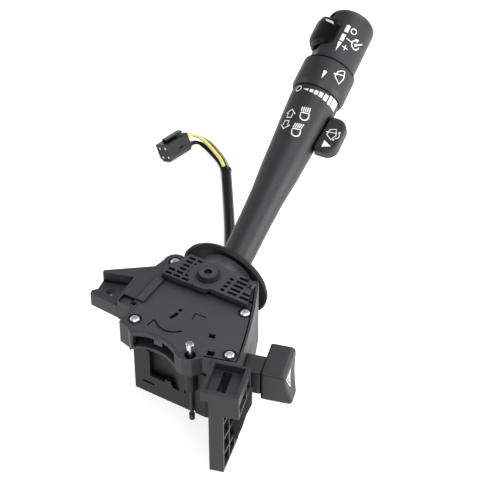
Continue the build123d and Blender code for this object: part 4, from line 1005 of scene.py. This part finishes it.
class STALK_OT_symbols(bpy.types.Operator):
    """White pad prints on the stalk, band, cap, paddle and hazard knob"""

    bl_idname = "stalk.symbols"
    bl_label = "Symbols"

    def execute(self, context):
        white = pad_print("white_pad_print", chosen("stalk_plastics").print_colour)
        self.cruise_prints(white)
        self.wiper_prints(white)
        self.lamp_prints(white)
        self.washer_prints(white)
        self.hazard_print(white)
        return {"FINISHED"}

    def cruise_prints(self, white):
        """Speed control on the cap: the slider's scale, its signs, a dial and the slider's index line."""
        cap = on_turned(CAP_LINE, angle=13.5)
        wedge = [(-1.4, 210.4), (1.2, 210.4), (-0.4, 202.8)]
        scale = [
            rect(across=0.3, along=221.6, wide=2.65, long=5.6),
            rect(across=0.05, along=214.2, wide=2.6, long=5.4), wedge,
        ]
        print_on("cruise_scale_print", scale, cap, white, "lever")
        signs = ring((4.95, 221.8), radius=1.95, wide=0.62)
        for sign in (
            [(2.5, 214.6), (6.8, 214.1)], [(2.2, 208.1), (6.3, 207.7)], [(4.1, 209.9), (4.4, 205.9)],
        ):
            signs += stroke(sign, wide=0.6)
        print_on("cruise_signs_print", signs, cap, white, "lever")
        hub = (0, 214.2)
        gauge = stroke(bow(hub, radius=3.1, start=-255, end=10), wide=0.75)
        gauge += stroke([(0.2, 214.4), (4.6, 218.4)], wide=0.85) + ring(hub, radius=0.5, wide=0.9)
        gauge.append([(-2.6, 217.7), (0.5, 216.2), (0.6, 218.9)])
        print_on("speed_dial_print", gauge, on_turned(CAP_LINE, angle=50.0), white, "lever")
        # The index line is white print, and it also stands in for the glint on the scoop's far rim: print
        # and painted highlight.
        # The index line is slanted over the scoop's steep wall, so it is laid down in narrow rows.
        index = []
        for row in range(4):
            back, front = 5.5 + 0.3 * row, 2.3 + 0.28 * row
            index.append([
                (INDEX_BACK_AT, back), (INDEX_FRONT_AT, front),
                (INDEX_FRONT_AT, front + 0.28), (INDEX_BACK_AT, back + 0.3),
            ])
        print_on("slider_index_and_glint_print", index, on_scoop, white, "slider", lift=THICK_LIFT, cell=2.0)

    def wiper_prints(self, white):
        """Wiper scale on the stalk, and the pointer and screen on the band that turns against it."""
        collar = on_turned(STALK_LINE, angle=0.0)
        # Growing bars of the wiper scale: place across, middle along, width and length.
        bars = (
            (1.0, 168.5, 2.3, 2.1), (4.3, 168.5, 2.5, 3.0), (7.7, 168.6, 2.7, 3.7), (11.4, 168.6, 2.8, 4.7),
            (15.1, 168.9, 2.2, 6.5), (20.0, 169.1, 5.9, 6.8),
        )
        scale = [rect(*bar) for bar in bars] + [[(-5.2, 168.6), (-1.3, 167.7), (-1.3, 169.4)]]
        print_on("wiper_scale_print", scale, collar, white, "lever")
        print_on("wiper_off_print", ring((-9.1, 168.9), radius=2.1, wide=0.6), collar, white, "lever")
        pointer = [(-1.2, 184.4), (-0.6, 185.0), (0.6, 185.0), (1.2, 184.4), (-0.3, 178.5)]
        print_on("band_pointer_print", [pointer], on_turned(BAND_LINE, angle=13.5), white, "band")
        screen = [(-2.9, 188.5), (-0.9, 190.9), (1.5, 191.9), (3.2, 187.2), (1.5, 181.7), (-3.2, 184.4)]
        wiper = stroke(screen, wide=0.7, closed=True)
        wiper += stroke([(-4.2, 186.0), (2.2, 189.1)], wide=0.6)
        wiper += ring((-4.3, 186.0), radius=0.35, wide=0.6)
        print_on("wiper_symbol_print", wiper, on_turned(BAND_LINE, angle=46.5), white, "band")

    def lamp_prints(self, white):
        """High and low beam lamps and the two turn arrows on the stalk."""
        for name, centre, angle, slant in (("high_beam", 149.6, 15.0, 0.0), ("low_beam", 137.0, 13.2, 1.3)):
            glass = [(2.75, 2.4)] + bow((0, 0), radius=2.75, start=0, end=-180) + [(-2.75, 2.4)]
            lamp = stroke(glass, wide=0.72, closed=True)
            for ray in range(5):
                across = -2.6 + 1.3 * ray
                lamp += stroke([(across, 3.2), (across + slant, 6.6)], wide=0.62)
            tilt = Matrix.Rotation(radians(12.0), 2)
            lamp = [[tuple(tilt @ Vector(corner)) for corner in polygon] for polygon in lamp]
            lamp = [[(x, y + centre) for x, y in polygon] for polygon in lamp]
            print_on(f"{name}_print", lamp, on_turned(STALK_LINE, angle), white, "lever")
        for name, centre, angle, side in (("arrow_up", 149.2, -22.6, 1), ("arrow_down", 140.7, -24.1, -1)):
            half = [(0.0, 3.2), (3.5, 0.0), (1.75, 0.0), (1.75, -3.0)]
            outline = half + [(-x, y) for x, y in reversed(half[1:])]
            outline = [(x, centre + side * y) for x, y in outline]
            arrow = stroke(outline, wide=0.75, closed=True)
            print_on(f"{name}_print", arrow, on_turned(STALK_LINE, angle), white, "lever")

    def washer_prints(self, white):
        """Screen with its spray, and a pointer, on top of the washer paddle."""
        screen = [(19.7, 151.7), (23.6, 153.0), (25.2, 148.5), (23.0, 144.7), (19.2, 147.5)]
        washer = stroke(screen, wide=0.6, closed=True)
        washer += stroke([(17.8, 149.4), (24.3, 150.2)], wide=0.55)
        washer += stroke(bow((24.6, 148.6), radius=2.7, start=-75, end=60, steps=8), wide=0.5)
        for drop in ((24.6, 145.0), (26.6, 151.4)):
            washer += ring(drop, radius=0.35, wide=0.5)
        print_on("washer_symbol_print", washer, on_paddle, white, "paddle")
        pointer = [(19.3, 143.1), (19.5, 137.9), (25.1, 139.9)]
        print_on("washer_pointer_print", [pointer], on_paddle, white, "paddle")

    def hazard_print(self, white):
        """Double triangle in the hollow face of the hazard knob."""
        corners = [(-44.0, -16.4), (-53.0, -16.0), (-50.2, -23.6)]
        middle = Vector((-49.1, -18.7))
        inner = [tuple(middle + (Vector(corner) - middle) * 0.42) for corner in corners]
        triangles = stroke(corners, wide=1.3, closed=True) + stroke(inner, wide=0.8, closed=True)
        print_on("hazard_triangle_print", triangles, on_knob, white, "hazard", lift=THICK_LIFT)


class STALK_PT_panel(bpy.types.Panel):
    """Lists the steps and their settings"""

    bl_label = "Stalk Switch"
    bl_idname = "STALK_PT_panel"
    bl_space_type = "VIEW_3D"
    bl_region_type = "UI"
    bl_category = "Stalk Switch"

    def draw(self, context):
        layout = self.layout
        for step in STEPS:
            layout.operator(step.bl_idname)
        for name in GROUPS:
            box = layout.box()
            group = chosen(name)
            for key in group.__annotations__:
                box.prop(group, key)


GROUPS = {
    "stalk_plastics": PlasticSettings, "stalk_pigtail": PigtailSettings, "stalk_stage": StageSettings,
}
STEPS = (
    STALK_OT_stage, STALK_OT_pigtail, STALK_OT_housing,
    STALK_OT_mechanism, STALK_OT_lever, STALK_OT_symbols,
)


def register():
    """Add the steps, the panel and the groups of settings."""
    for cls in (*GROUPS.values(), *STEPS, STALK_PT_panel):
        bpy.utils.register_class(cls)
    for name, cls in GROUPS.items():
        setattr(bpy.types.Scene, name, PointerProperty(type=cls))


def unregister():
    """Take them away again."""
    for name in GROUPS:
        delattr(bpy.types.Scene, name)
    for cls in reversed((*GROUPS.values(), *STEPS, STALK_PT_panel)):
        bpy.utils.unregister_class(cls)


def main():
    """Build every piece in order."""
    register()
    for step in STEPS:
        group, call = step.bl_idname.split(".")
        getattr(getattr(bpy.ops, group), call)()


if __name__ == "__main__":
    main()
